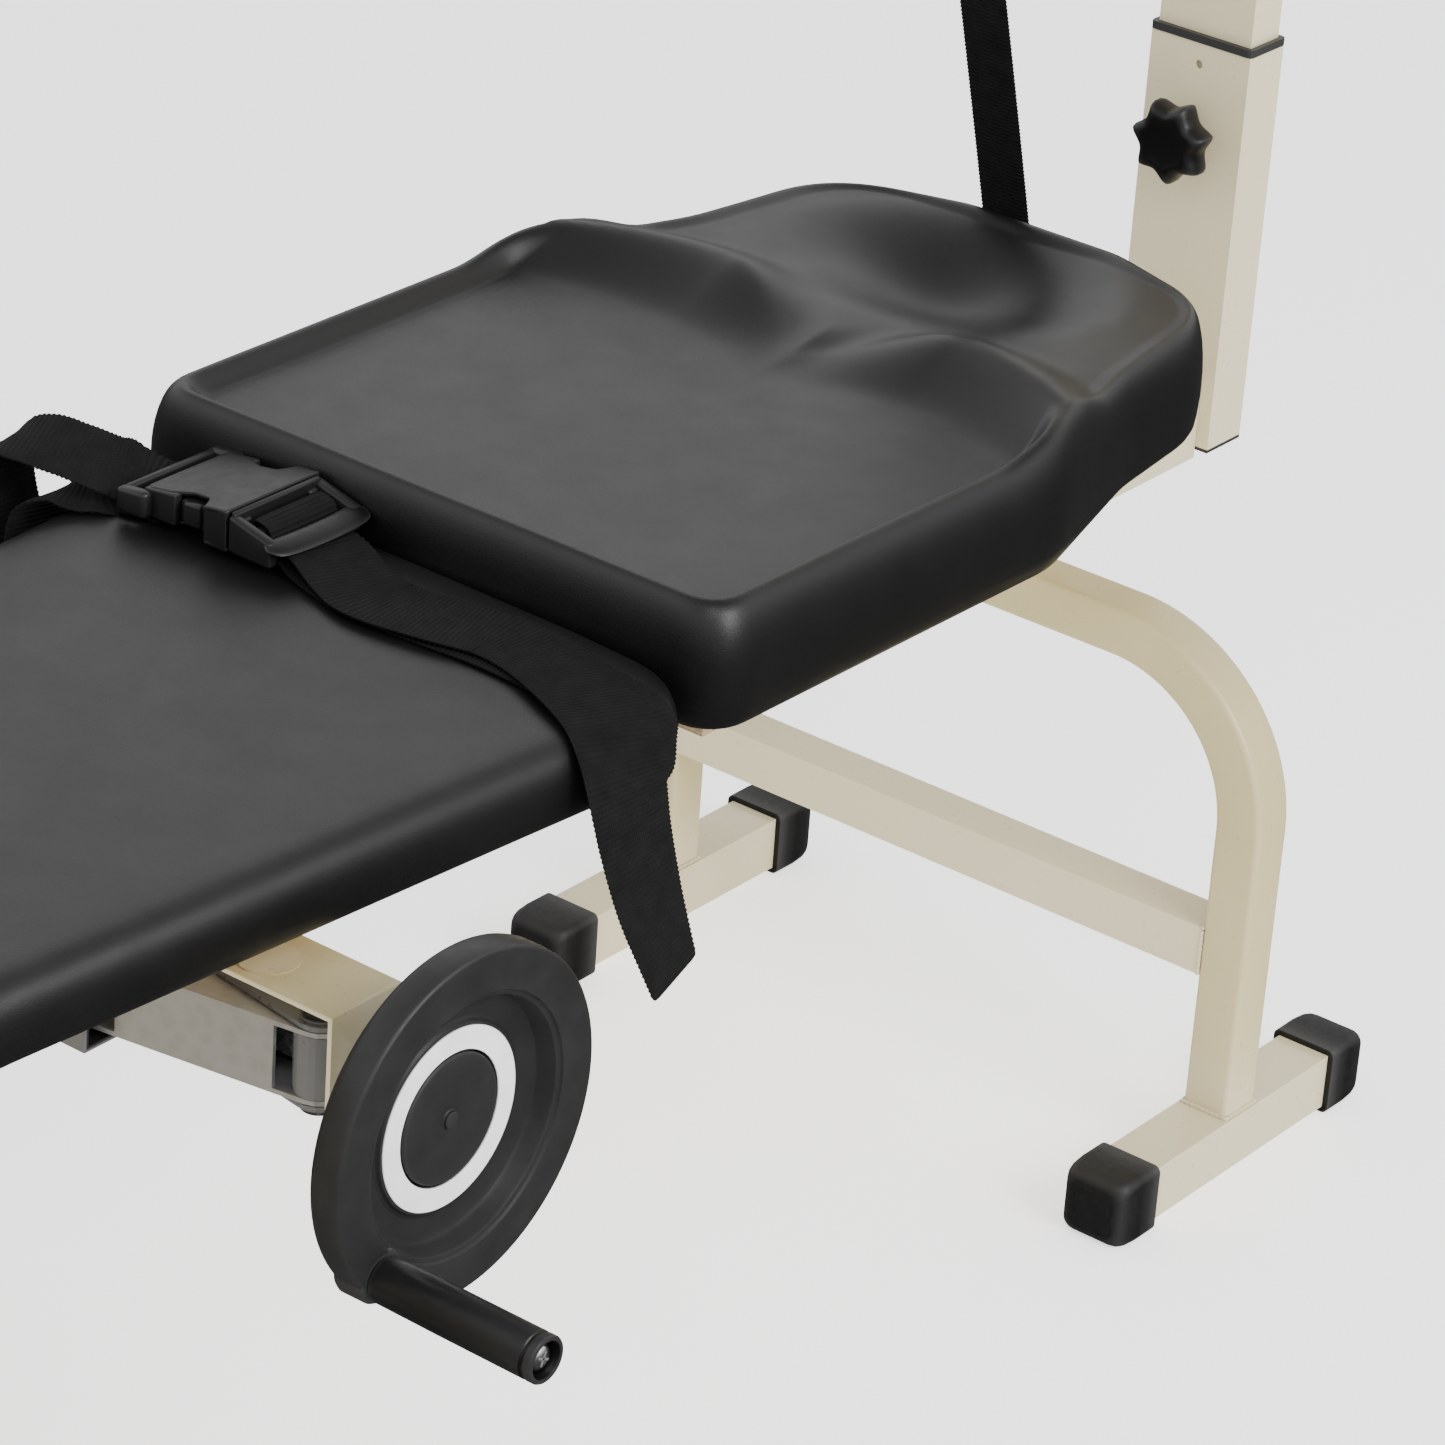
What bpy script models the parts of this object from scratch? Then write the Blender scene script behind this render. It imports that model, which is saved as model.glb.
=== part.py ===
"""Cervical and lumbar traction bed: steel frame, two pads, screw jack, handwheel and clamped mast.

Bed coordinates, in metres: X runs from the foot to the head, Y to the far side, Z up from the floor.
X = 0 is the middle of the head arch and Y = 0 the middle of the bed.  The empty bed_origin shifts
the whole bed so that the world origin is at the middle of its bounding box, on the floor.
"""
import math

import bmesh
import bpy
from mathutils import Matrix, Vector

# ---- driving dimensions ----
GAP = 0.0003                 # air between pieces that touch
ARCH_SPACING = 1.250         # head arch to foot arch
LEG_SPACING = 0.480          # leg centre to leg centre, across the bed
LEG_TUBE = 0.035
ARCH_TOP = 0.381
ARCH_BEND = 0.112            # bend radius of the tube's centreline
TUBE_WALL = 0.002
FLOOR_BAR = 0.040
FLOOR_BAR_SHOWN = 0.208      # length between its two caps
FLOOR_CAP = 0.049
FLOOR_CAP_LENGTH = 0.042
FLOOR_CAP_POCKET = 0.022
CROSSBAR_BASE = 0.143

SPINE_WIDTH = 0.060
SPINE_HEIGHT = 0.060
RAIL_SIZE = 0.025
RAIL_INSIDE = 0.070          # inner side of each rail from the bed's middle
RAIL_BASE = 0.455
RAIL_HEAD_END = -0.100
RAIL_FOOT_END = -1.490
SPINE_FOOT_END = -0.785
TIE_PLACES = (-0.180, -0.745)
SUPPORT_PLACES = (-0.150, -0.470)
CARRIAGE_BAR_PLACES = (-0.650, -1.330)
CROSS_BAR_REACH = 0.125      # half the length of the pad supports and the carriage bars
SHOE_LENGTH = 0.050
SHOE_WALL = 0.005

UPPER_PAD_FOOT = -0.560
UPPER_PAD_BASE = 0.512
UPPER_PAD_TOP = 0.590
LOWER_PAD_BASE = 0.500
LOWER_PAD_TOP = 0.550
LOWER_PAD_HEAD = -0.566
LOWER_PAD_FOOT = -1.688
LOWER_HALF_HEAD = 0.218
LOWER_HALF_FOOT = 0.136
UPPER_BOARD = 0.0095
LOWER_BOARD = 0.008

POST_FACE = 0.2175           # face of the post that looks to the foot
POST_WIDTH = 0.080
POST_DEPTH = 0.040
POST_BASE = 0.390
POST_TOP = 0.677
MAST_WIDTH = 0.0745
MAST_DEPTH = 0.033
MAST_BASE = 0.440
MAST_TOP = 1.140
ARM_TIP = -0.130
ARM_BASE = 1.085
ARM_HEIGHT = 0.030
ARM_WIDTH = 0.040
EAR_REACH = 0.0235            # from the strap's middle to each ear of its yoke
KNOB_HEIGHT = 0.613
KNOB_RADIUS = 0.030
KNOB_LOBES = 7
KNOB_STAND_OFF = 0.034       # from the post's face to the knob's front
KNOB_THICK = 0.019
LOCATION_HOLE_HEIGHT = 0.662
STRAP_TOP = (-0.095, 0.036, 1.072)
STRAP_FOOT = (0.1162, 0.0515, 0.4475)
STRAP_WIDTH = 0.038
STRAP_THICK = 0.0022

SCREW_X = -0.868             # the jack's screw, which is also the handwheel's axis
SCREW_Z = 0.4255
JACK_MIDDLE = -0.0355        # middle of the jack across the bed
JACK_PIN_SPACING = 0.034
JACK_BASE_BACK = -0.805      # inner face of the base's back plate
JAW_WIDTH = 0.066
JAW_PLATE = 0.0035
JACK_ARM = 0.145             # pin to pin
JACK_ANGLE = math.radians(9.0)  # of each arm, from straight across the bed
ARM_PLATE = 0.003
OUTER_ARM_HEIGHT = 0.0524
INNER_ARM_HEIGHT = 0.0452
ARM_END_RADIUS = 0.015
PIN_RADIUS = 0.0057
PIN_HOLE = 0.0060
OPEN_PIN_HOLE = 0.0072       # the saddle's pins, where the linkage is opened
BRACKET_BASE = 0.467
BRACKET_PLATE = 0.003
BRACKET_FACE = -0.2235
BRACKET_BACK = -0.128
FLANGE_FOOT = 0.400          # lowest edge of its turned-down flange
SCREW_HOLE = 0.0073

WHEEL_RADIUS = 0.104
WHEEL_FACE = -0.301          # plane of the rim's front
RING_RADIUS = 0.0545
CAP_RADIUS = 0.0385
GRIP_OFFSET = (-0.0655, -0.0635)  # from the wheel's middle
GRIP_RADIUS = 0.014
GRIP_LENGTH = 0.113

BELT_X = -0.612
BELT_WIDTH = 0.057
BELT_THICK = 0.0022
BUCKLE_X = -0.604
BUCKLE_HALF = 0.0405         # half its width
BUCKLE_HEIGHT = 0.0270
BUCKLE_WALL = 0.0030
FEMALE_FAR = 0.1720
FEMALE_NEAR = 0.0860
MALE_NEAR = 0.0480
WINDOW_START = 0.022         # where the fingers reach the prongs, from the female half's near end
WINDOW_LENGTH = 0.020
THROAT_END = 0.020           # solid stretch at the female half's far end
PRONG_PLACE = 0.62           # as a share of the buckle's half width
PRONG_LENGTH = 0.040

HALF_LEG = LEG_SPACING / 2
SPINE_BASE = ARCH_TOP + GAP
SPINE_TOP = SPINE_BASE + SPINE_HEIGHT
RAIL_TOP = RAIL_BASE + RAIL_SIZE
FLOOR_BAR_BASE = (FLOOR_CAP - FLOOR_BAR) / 2
JACK_DROP = JACK_ARM * math.sin(JACK_ANGLE)
JACK_REACH = JACK_ARM * math.cos(JACK_ANGLE)
BASE_PIN_X = SCREW_X + JACK_DROP
SADDLE_PIN_X = SCREW_X - JACK_DROP
NEAR_PIN_Y = JACK_MIDDLE - JACK_PIN_SPACING / 2
FAR_PIN_Y = JACK_MIDDLE + JACK_PIN_SPACING / 2
NEAR_TRUNNION_Y = NEAR_PIN_Y - JACK_REACH
FAR_TRUNNION_Y = FAR_PIN_Y + JACK_REACH
GRIP_X = SCREW_X + GRIP_OFFSET[0]
GRIP_Z = SCREW_Z + GRIP_OFFSET[1]
GRIP_START = WHEEL_FACE - 0.001
GRIP_END = GRIP_START - GRIP_LENGTH
ORIGIN_X = -(LOWER_PAD_FOOT + POST_FACE + POST_DEPTH + 0.001) / 2
ORIGIN_Y = -(HALF_LEG + FLOOR_CAP / 2 + GRIP_END) / 2

ALONG_X = Matrix.Rotation(math.pi / 2, 4, "Z") @ Matrix.Rotation(math.pi / 2, 4, "X")
ALONG_Y = Matrix.Rotation(math.pi / 2, 4, "X")

for stale in list(bpy.data.objects):
    bpy.data.objects.remove(stale, do_unlink=True)

bed = bpy.data.collections.new("traction_bed")
cutters = bpy.data.collections.new("cutters")
for group in (bed, cutters):
    bpy.context.scene.collection.children.link(group)
bed_origin = bpy.data.objects.new("bed_origin", None)
bed_origin.location = (ORIGIN_X, ORIGIN_Y, 0.0)
bed.objects.link(bed_origin)


# ---- materials ----
def material(name, colour, roughness, metallic=0.0):
    made = bpy.data.materials.new(name)
    made.use_nodes = True
    shader = made.node_tree.nodes["Principled BSDF"]
    shader.inputs["Base Color"].default_value = (*colour, 1.0)
    shader.inputs["Roughness"].default_value = roughness
    shader.inputs["Metallic"].default_value = metallic
    made.diffuse_color = (*colour, 1.0)
    return made


CREAM = material("cream_powder_coat", (0.62, 0.56, 0.42), 0.35)
RUBBER = material("black_rubber", (0.025, 0.025, 0.027), 0.7)
PLASTIC = material("black_plastic", (0.015, 0.015, 0.016), 0.4)
LEATHER = material("black_leatherette", (0.035, 0.035, 0.037), 0.42)
WEBBING = material("black_webbing", (0.01, 0.01, 0.011), 0.85)
ZINC = material("galvanised_steel", (0.42, 0.43, 0.44), 0.4, 0.9)
BLACK_STEEL = material("black_painted_steel", (0.03, 0.03, 0.033), 0.45, 0.3)
STEEL = material("bright_steel", (0.55, 0.55, 0.56), 0.3, 1.0)
PLYWOOD = material("plywood", (0.36, 0.24, 0.13), 0.7)


# ---- tools for making pieces ----
def add(obj, paint, pivot=(0.0, 0.0, 0.0)):
    """Put a piece in the bed's collection, with its origin at the pivot."""
    bed.objects.link(obj)
    obj.data.materials.clear()
    obj.data.materials.append(paint)
    obj.data.transform(Matrix.Translation(-Vector(pivot)))
    obj.parent = bed_origin
    obj.location = pivot
    return obj


def mesh_from(name, bm):
    data = bpy.data.meshes.new(name)
    bm.normal_update()
    bm.to_mesh(data)
    bm.free()
    return data


def box_mesh(name, low, high):
    bm = bmesh.new()
    bmesh.ops.create_cube(bm, size=1.0)
    middle = (Vector(low) + Vector(high)) / 2
    size = Vector(high) - Vector(low)
    bmesh.ops.transform(bm, verts=bm.verts, matrix=Matrix.Translation(middle) @ Matrix.Diagonal((*size, 1.0)))
    return mesh_from(name, bm)


def rod_mesh(name, start, end, radius, sides=24):
    """A round rod between two points."""
    start = Vector(start)
    run = Vector(end) - start
    turn = run.to_track_quat("Z", "Y").to_matrix().to_4x4()
    bm = bmesh.new()
    bmesh.ops.create_cone(bm, cap_ends=True, segments=sides, radius1=radius, radius2=radius, depth=run.length)
    bmesh.ops.transform(bm, verts=bm.verts, matrix=Matrix.Translation(start + run / 2) @ turn)
    return mesh_from(name, bm)


def outline_mesh(name, loops, depth, place, edge=0.0):
    """Flat outlines, the later ones holes in the first, as thick as depth and rounded by edge."""
    curve = bpy.data.curves.new(name, "CURVE")
    curve.dimensions = "2D"
    curve.fill_mode = "BOTH"
    curve.extrude = depth / 2 - edge
    curve.bevel_depth = edge
    curve.bevel_resolution = 1
    curve.offset = -edge
    for loop in loops:
        spline = curve.splines.new("POLY")
        spline.points.add(len(loop) - 1)
        for point, (u, v) in zip(spline.points, loop):
            point.co = (u, v, 0.0, 1.0)
        spline.use_cyclic_u = True
    holder = bpy.data.objects.new(name, curve)
    cutters.objects.link(holder)
    bpy.context.view_layer.update()
    evaluated = holder.evaluated_get(bpy.context.evaluated_depsgraph_get())
    data = bpy.data.meshes.new_from_object(evaluated)
    bpy.data.objects.remove(holder)
    bm = bmesh.new()
    bm.from_mesh(data)
    bmesh.ops.remove_doubles(bm, verts=bm.verts, dist=0.00001)
    bmesh.ops.transform(bm, verts=bm.verts, matrix=place)
    bmesh.ops.recalc_face_normals(bm, faces=bm.faces)
    bpy.data.meshes.remove(data)
    return mesh_from(name, bm)


def turned_mesh(name, profile, place, steps=32):
    """A closed (radius, height) profile, listed down its outer side, turned about Z."""
    data = bpy.data.meshes.new(name)
    points = [(radius, 0.0, height) for radius, height in profile]
    edges = [(i, (i + 1) % len(points)) for i in range(len(points))]
    on_axis = profile[0][0] == 0.0 and profile[-1][0] == 0.0
    data.from_pydata(points, edges[:-1] if on_axis else edges, [])
    holder = bpy.data.objects.new(name, data)
    cutters.objects.link(holder)
    screw = holder.modifiers.new("turn", "SCREW")
    screw.steps = steps
    screw.render_steps = steps
    screw.use_merge_vertices = True
    screw.merge_threshold = 0.00001
    bpy.context.view_layer.update()
    evaluated = holder.evaluated_get(bpy.context.evaluated_depsgraph_get())
    turned = bpy.data.meshes.new_from_object(evaluated)
    bpy.data.objects.remove(holder)
    bm = bmesh.new()
    bm.from_mesh(turned)
    bmesh.ops.remove_doubles(bm, verts=bm.verts, dist=0.00001)
    bmesh.ops.transform(bm, verts=bm.verts, matrix=place)
    bmesh.ops.recalc_face_normals(bm, faces=bm.faces)
    made = mesh_from(name, bm)
    made.shade_smooth()
    made.set_sharp_from_angle(angle=math.radians(35.0))
    return made


def combine(data, tools, operation):
    """Cut tools from a mesh, or join them to it, and return the new mesh."""
    holder = bpy.data.objects.new("holder", data)
    cutters.objects.link(holder)
    helpers = []
    for tool in tools:
        helper = bpy.data.objects.new("cutter", tool)
        cutters.objects.link(helper)
        helper.hide_render = True
        helper.display_type = "WIRE"
        change = holder.modifiers.new("change", "BOOLEAN")
        change.operation = operation
        change.object = helper
        helpers.append(helper)
    bpy.context.view_layer.update()
    evaluated = holder.evaluated_get(bpy.context.evaluated_depsgraph_get())
    made = bpy.data.meshes.new_from_object(evaluated)
    for helper in helpers:
        bpy.data.objects.remove(helper)
    bpy.data.objects.remove(holder)
    return made


def piece(name, data, paint, pivot=(0.0, 0.0, 0.0)):
    return add(bpy.data.objects.new(name, data), paint, pivot)


def box(name, low, high, paint):
    return piece(name, box_mesh(name, low, high), paint)


def cross_plate(name, x, half_width, reach, low, high):
    """A flat steel bar lying across the bed."""
    return box(name, (x - half_width, -reach, low), (x + half_width, reach, high), CREAM)


def soften(obj, width):
    bevel = obj.modifiers.new("edges", "BEVEL")
    bevel.width = width
    bevel.segments = 1
    bevel.limit_method = "ANGLE"
    bevel.angle_limit = math.radians(50.0)


def rectangle(width, height, inset=0.0):
    u = width / 2 - inset
    v = height / 2 - inset
    return [(-u, -v), (u, -v), (u, v), (-u, v)]


def square_tube(name, start, end, width, height, wall, paint):
    """A rectangular tube along X or Y; width is its horizontal side."""
    start = Vector(start)
    end = Vector(end)
    turn = ALONG_X if abs(end.x - start.x) > abs(end.y - start.y) else ALONG_Y
    place = Matrix.Translation((start + end) / 2) @ turn
    loops = [rectangle(width, height), rectangle(width, height, wall)]
    return piece(name, outline_mesh(name, loops, (end - start).length, place), paint)


def rounded(points, radius, steps=4):
    """The outline with each corner replaced by an arc."""
    made = []
    count = len(points)
    for i in range(count):
        corner = Vector(points[i])
        to_before = (Vector(points[i - 1]) - corner)
        to_after = (Vector(points[(i + 1) % count]) - corner)
        half = to_before.angle(to_after) / 2
        size = min(radius, 0.45 * min(to_before.length, to_after.length) * math.tan(half))
        back = size / math.tan(half)
        centre = corner + (to_before.normalized() + to_after.normalized()).normalized() * size / math.sin(half)
        first = corner + to_before.normalized() * back - centre
        last = corner + to_after.normalized() * back - centre
        turn = math.atan2(first.x * last.y - first.y * last.x, first.dot(last))
        for k in range(steps + 1):
            angle = turn * k / steps
            spun = Matrix.Rotation(angle, 2) @ first
            made.append(tuple(centre + spun))
    return made


# ---- the two arched end frames and what they stand on ----
def arch_outline(inset, foot):
    """An upside-down U, as (across, up) points; inset thins the band from both sides."""
    half = LEG_TUBE / 2 - inset
    centre_y = HALF_LEG - ARCH_BEND
    centre_z = ARCH_TOP - LEG_TUBE / 2 - ARCH_BEND
    steps = 10

    def side(radius):
        arc = [math.pi / 2 * k / steps for k in range(steps + 1)]
        right = [(centre_y + radius * math.cos(a), centre_z + radius * math.sin(a)) for a in arc]
        left = [(-y, z) for y, z in reversed(right)]
        return [(centre_y + radius, foot)] + right + left + [(-centre_y - radius, foot)]

    return side(ARCH_BEND + half) + list(reversed(side(ARCH_BEND - half)))


def end_frame(end, arch_x):
    base = FLOOR_BAR_BASE + FLOOR_BAR + GAP
    place = Matrix.Translation((arch_x, 0.0, 0.0)) @ ALONG_X
    solid = outline_mesh("arch", [arch_outline(0.0, base)], LEG_TUBE, place)
    inside = outline_mesh("bore", [arch_outline(TUBE_WALL, base - 0.01)], LEG_TUBE - 2 * TUBE_WALL, place)
    piece(end + "_arch", combine(solid, [inside], "DIFFERENCE"), CREAM)
    reach = HALF_LEG - LEG_TUBE / 2 - GAP
    height = CROSSBAR_BASE + LEG_TUBE / 2
    square_tube(end + "_crossbar", (arch_x, -reach, height), (arch_x, reach, height),
                LEG_TUBE, LEG_TUBE, TUBE_WALL, CREAM)
    for side, across in (("near", -HALF_LEG), ("far", HALF_LEG)):
        floor_bar(end, side, arch_x, across)


def floor_bar(end, side, arch_x, across):
    name = f"{end}_{side}"
    middle = FLOOR_BAR_BASE + FLOOR_BAR / 2
    reach = FLOOR_BAR_SHOWN / 2 + FLOOR_CAP_POCKET - GAP
    square_tube("floor_bar_" + name, (arch_x - reach, across, middle), (arch_x + reach, across, middle),
                FLOOR_BAR, FLOOR_BAR, TUBE_WALL, CREAM)
    for tip, way in (("foot", -1), ("head", 1)):
        inner = arch_x + way * FLOOR_BAR_SHOWN / 2
        outer = inner + way * FLOOR_CAP_LENGTH
        body = box_mesh("cap", (min(inner, outer), across - FLOOR_CAP / 2, 0.0),
                        (max(inner, outer), across + FLOOR_CAP / 2, FLOOR_CAP))
        pocket_end = inner + way * FLOOR_CAP_POCKET
        pocket_start = inner - way * 0.01
        half = FLOOR_BAR / 2 + GAP
        pocket = box_mesh("pocket", (min(pocket_start, pocket_end), across - half, middle - half),
                          (max(pocket_start, pocket_end), across + half, middle + half))
        piece(f"floor_cap_{name}_{tip}", combine(body, [pocket], "DIFFERENCE"), RUBBER)


# ---- spine, rails and their ties ----
def chassis():
    height = SPINE_BASE + SPINE_HEIGHT / 2
    square_tube("spine_head", (SPINE_FOOT_END, 0.0, height), (POST_FACE - GAP, 0.0, height),
                SPINE_WIDTH, SPINE_HEIGHT, TUBE_WALL, CREAM)
    middle = RAIL_INSIDE + RAIL_SIZE / 2
    level = RAIL_BASE + RAIL_SIZE / 2
    for side, across in (("near", -middle), ("far", middle)):
        square_tube("rail_" + side, (RAIL_FOOT_END, across, level), (RAIL_HEAD_END, across, level),
                    RAIL_SIZE, RAIL_SIZE, TUBE_WALL, CREAM)
    reach = RAIL_INSIDE + RAIL_SIZE
    for number, x in enumerate(TIE_PLACES, start=1):
        cross_plate(f"rail_tie_{number}", x, 0.020, reach, SPINE_TOP + GAP, RAIL_BASE - GAP)
    riser = RAIL_BASE - GAP - SPINE_BASE
    height = SPINE_BASE + riser / 2
    square_tube("foot_riser", (-ARCH_SPACING, -reach, height), (-ARCH_SPACING, reach, height),
                LEG_TUBE, riser, TUBE_WALL, CREAM)


# ---- upper pad, fixed to the frame ----
def upper_pad():
    for number, x in enumerate(SUPPORT_PLACES, start=1):
        base = RAIL_TOP + GAP
        top = UPPER_PAD_BASE - GAP - UPPER_BOARD - GAP
        cross_plate(f"pad_support_{number}", x, 0.020, CROSS_BAR_REACH, base, top)
    board = [(-0.545, -0.195), (-0.215, -0.195), (-0.120, -0.155), (0.025, -0.140), (0.045, -0.060)]
    board += [(x, -y) for x, y in reversed(board)]
    level = Matrix.Translation((0.0, 0.0, UPPER_PAD_BASE - GAP - UPPER_BOARD / 2))
    piece("upper_pad_board", outline_mesh("board", [board], UPPER_BOARD, level), PLYWOOD)
    near = [(UPPER_PAD_FOOT, -0.216), (-0.215, -0.216), (-0.110, -0.174), (0.028, -0.160), (0.060, -0.062)]
    far = [(0.060, 0.062), (0.028, 0.160), (-0.110, 0.178), (-0.215, 0.226), (UPPER_PAD_FOOT, 0.236)]
    plan = rounded(near + far, 0.035)
    thick = UPPER_PAD_TOP - UPPER_PAD_BASE
    level = Matrix.Translation((0.0, 0.0, UPPER_PAD_BASE + thick / 2))
    piece("upper_pad", outline_mesh("pad", [plan], thick, level, 0.012), LEATHER)


# ---- lower pad and its sliding carriage ----
def lower_plan(inset):
    """The pad's plan: crowned and round-cornered at the head, tapering to the foot."""
    head = LOWER_PAD_HEAD - inset
    half = [(LOWER_PAD_FOOT + inset, -LOWER_HALF_FOOT + inset), (head - 0.022, -LOWER_HALF_HEAD + inset)]
    crown = [(head - 0.006, -0.120), (head, 0.0), (head - 0.006, 0.120)]
    return half + crown + [(x, -y) for x, y in reversed(half)]


def carriage():
    thick = LOWER_PAD_TOP - LOWER_PAD_BASE
    level = Matrix.Translation((0.0, 0.0, LOWER_PAD_BASE + thick / 2))
    plan = rounded(lower_plan(0.0), 0.032)
    piece("lower_pad", outline_mesh("pad", [plan], thick, level, 0.014), LEATHER)
    board_top = LOWER_PAD_BASE - GAP
    level = Matrix.Translation((0.0, 0.0, board_top - LOWER_BOARD / 2))
    piece("lower_pad_board", outline_mesh("board", [lower_plan(0.022)], LOWER_BOARD, level), PLYWOOD)
    bar_top = board_top - LOWER_BOARD - GAP
    bar_base = bar_top - 0.0070
    shoe_top = bar_base - GAP
    shoe_base = RAIL_BASE + 0.004
    outer = RAIL_INSIDE + RAIL_SIZE
    for end, x in zip(("head", "foot"), CARRIAGE_BAR_PLACES):
        cross_plate(f"carriage_bar_{end}", x, 0.030, CROSS_BAR_REACH, bar_base, bar_top)
        for side, way in (("near", -1), ("far", 1)):
            section = [(RAIL_INSIDE - SHOE_WALL, shoe_base), (RAIL_INSIDE - GAP, shoe_base),
                       (RAIL_INSIDE - GAP, RAIL_TOP + GAP), (outer + GAP, RAIL_TOP + GAP),
                       (outer + GAP, shoe_base), (outer + SHOE_WALL, shoe_base),
                       (outer + SHOE_WALL, shoe_top), (RAIL_INSIDE - SHOE_WALL, shoe_top)]
            section = [(way * y, z) for y, z in section]
            place = Matrix.Translation((x, 0.0, 0.0)) @ ALONG_X
            piece(f"slide_shoe_{end}_{side}", outline_mesh("shoe", [section], SHOE_LENGTH, place), PLASTIC)
    jack_saddle(bar_top)


# ---- the screw jack, lying flat, that drives the carriage ----
def pin_jaw(name, pin_x, back_x, extra):
    """A jaw of two plates and a back, with the two pins that a pair of arms turns on."""
    low = SCREW_Z - OUTER_ARM_HEIGHT / 2 - GAP
    high = SCREW_Z + OUTER_ARM_HEIGHT / 2 + GAP
    plate = JAW_PLATE
    way = 1 if back_x > pin_x else -1
    tip = pin_x - way * ARM_END_RADIUS
    rear = back_x + way * plate
    section = [(tip, low - plate), (rear, low - plate), (rear, high + plate), (tip, high + plate),
               (tip, high), (back_x, high), (back_x, low), (tip, low)]
    body = outline_mesh(name, [section], JAW_WIDTH, Matrix.Translation((0.0, JACK_MIDDLE, 0.0)) @ ALONG_Y)
    parts = []
    for across in (NEAR_PIN_Y, FAR_PIN_Y):
        parts.append(rod_mesh("pin", (pin_x, across, low - 0.001), (pin_x, across, high + 0.001), PIN_RADIUS))
    return combine(body, parts + extra, "UNION")


def jack_base():
    back = JACK_BASE_BACK
    tongue = box_mesh("tongue", (back + 0.001, -0.027, SPINE_BASE + 0.004),
                      (SPINE_FOOT_END - 0.0005, 0.0, SPINE_TOP - 0.004))
    piece("jack_base", pin_jaw("jack_base", BASE_PIN_X, back, [tongue]), BLACK_STEEL)


def jack_saddle(bar_top):
    back = SADDLE_PIN_X - 0.024
    low = SCREW_Z + OUTER_ARM_HEIGHT / 2
    stem = box_mesh("stem", (back - 0.0030, -0.064, low), (back - 0.0005, -0.007, bar_top - 0.002))
    flange = box_mesh("flange", (back - 0.030, -0.063, bar_top - 0.004), (back + 0.001, -0.008, bar_top))
    piece("jack_saddle", pin_jaw("jack_saddle", SADDLE_PIN_X, back, [stem, flange]), BLACK_STEEL)


def jack_arm(name, start, end, height, web_way, end_hole, paint):
    """A channel arm with round ends: start is the pin it hangs on, web_way the side its web is on."""
    start = Vector((*start, 0.0))
    end = Vector((*end, 0.0))
    run = end - start
    steps = 8
    plan = []
    for centre, first in ((run.length, -math.pi / 2), (0.0, math.pi / 2)):
        for k in range(steps + 1):
            angle = first + math.pi * k / steps
            plan.append((centre + ARM_END_RADIUS * math.cos(angle), ARM_END_RADIUS * math.sin(angle)))
    solid = outline_mesh(name, [plan], height, Matrix.Identity(4))
    inner = height / 2 - ARM_PLATE
    reach = ARM_END_RADIUS + 0.002
    edge = ARM_END_RADIUS - ARM_PLATE
    cuts = [box_mesh("throat", (-reach, -edge if web_way < 0 else -reach, -inner),
                     (run.length + reach, reach if web_way < 0 else edge, inner))]
    clear = 0.021
    for centre in (0.0, run.length):
        cuts.append(box_mesh("window", (centre - clear, -reach, -inner), (centre + clear, reach, inner)))
    for centre, radius in ((0.0, PIN_HOLE), (run.length, end_hole)):
        cuts.append(rod_mesh("hole", (centre, 0.0, -height), (centre, 0.0, height), radius))
    made = combine(solid, cuts, "DIFFERENCE")
    turn = Matrix.Rotation(math.atan2(run.y, run.x), 4, "Z")
    made.transform(Matrix.Translation((start.x, start.y, SCREW_Z)) @ turn)
    piece(name, made, paint, (start.x, start.y, SCREW_Z))


def trunnion(name, across, bolted):
    """The round block between a pair of arm ends, with its pin and the hole for the screw."""
    body = INNER_ARM_HEIGHT / 2 - ARM_PLATE - GAP
    reach = OUTER_ARM_HEIGHT / 2
    washer = reach + GAP
    half = [(PIN_RADIUS, body), (PIN_RADIUS, reach)]
    if bolted:
        half = [(PIN_RADIUS, body), (PIN_RADIUS, washer), (0.0125, washer), (0.0125, washer + 0.0016),
                (0.0105, washer + 0.0016), (0.0105, washer + 0.0046)]
    top = [(0.0, half[-1][1])] + [(r, h) for r, h in reversed(half)] + [(0.015, body)]
    profile = top + [(r, -h) for r, h in reversed(top)]
    place = Matrix.Translation((SCREW_X, across, SCREW_Z))
    made = turned_mesh(name, profile, place, 24)
    made = combine(made, [rod_mesh("bore", (SCREW_X, across - 0.05, SCREW_Z),
                                   (SCREW_X, across + 0.05, SCREW_Z), SCREW_HOLE)], "DIFFERENCE")
    if bolted:
        seat = SCREW_Z + half[-1][1]
        head = rod_mesh("head", (SCREW_X, across, seat - 0.0005),
                        (SCREW_X, across, BRACKET_BASE - GAP), 0.0095, 6)
        made = combine(made, [head], "UNION")
    piece(name, made, BLACK_STEEL, (SCREW_X, across, SCREW_Z))


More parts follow.
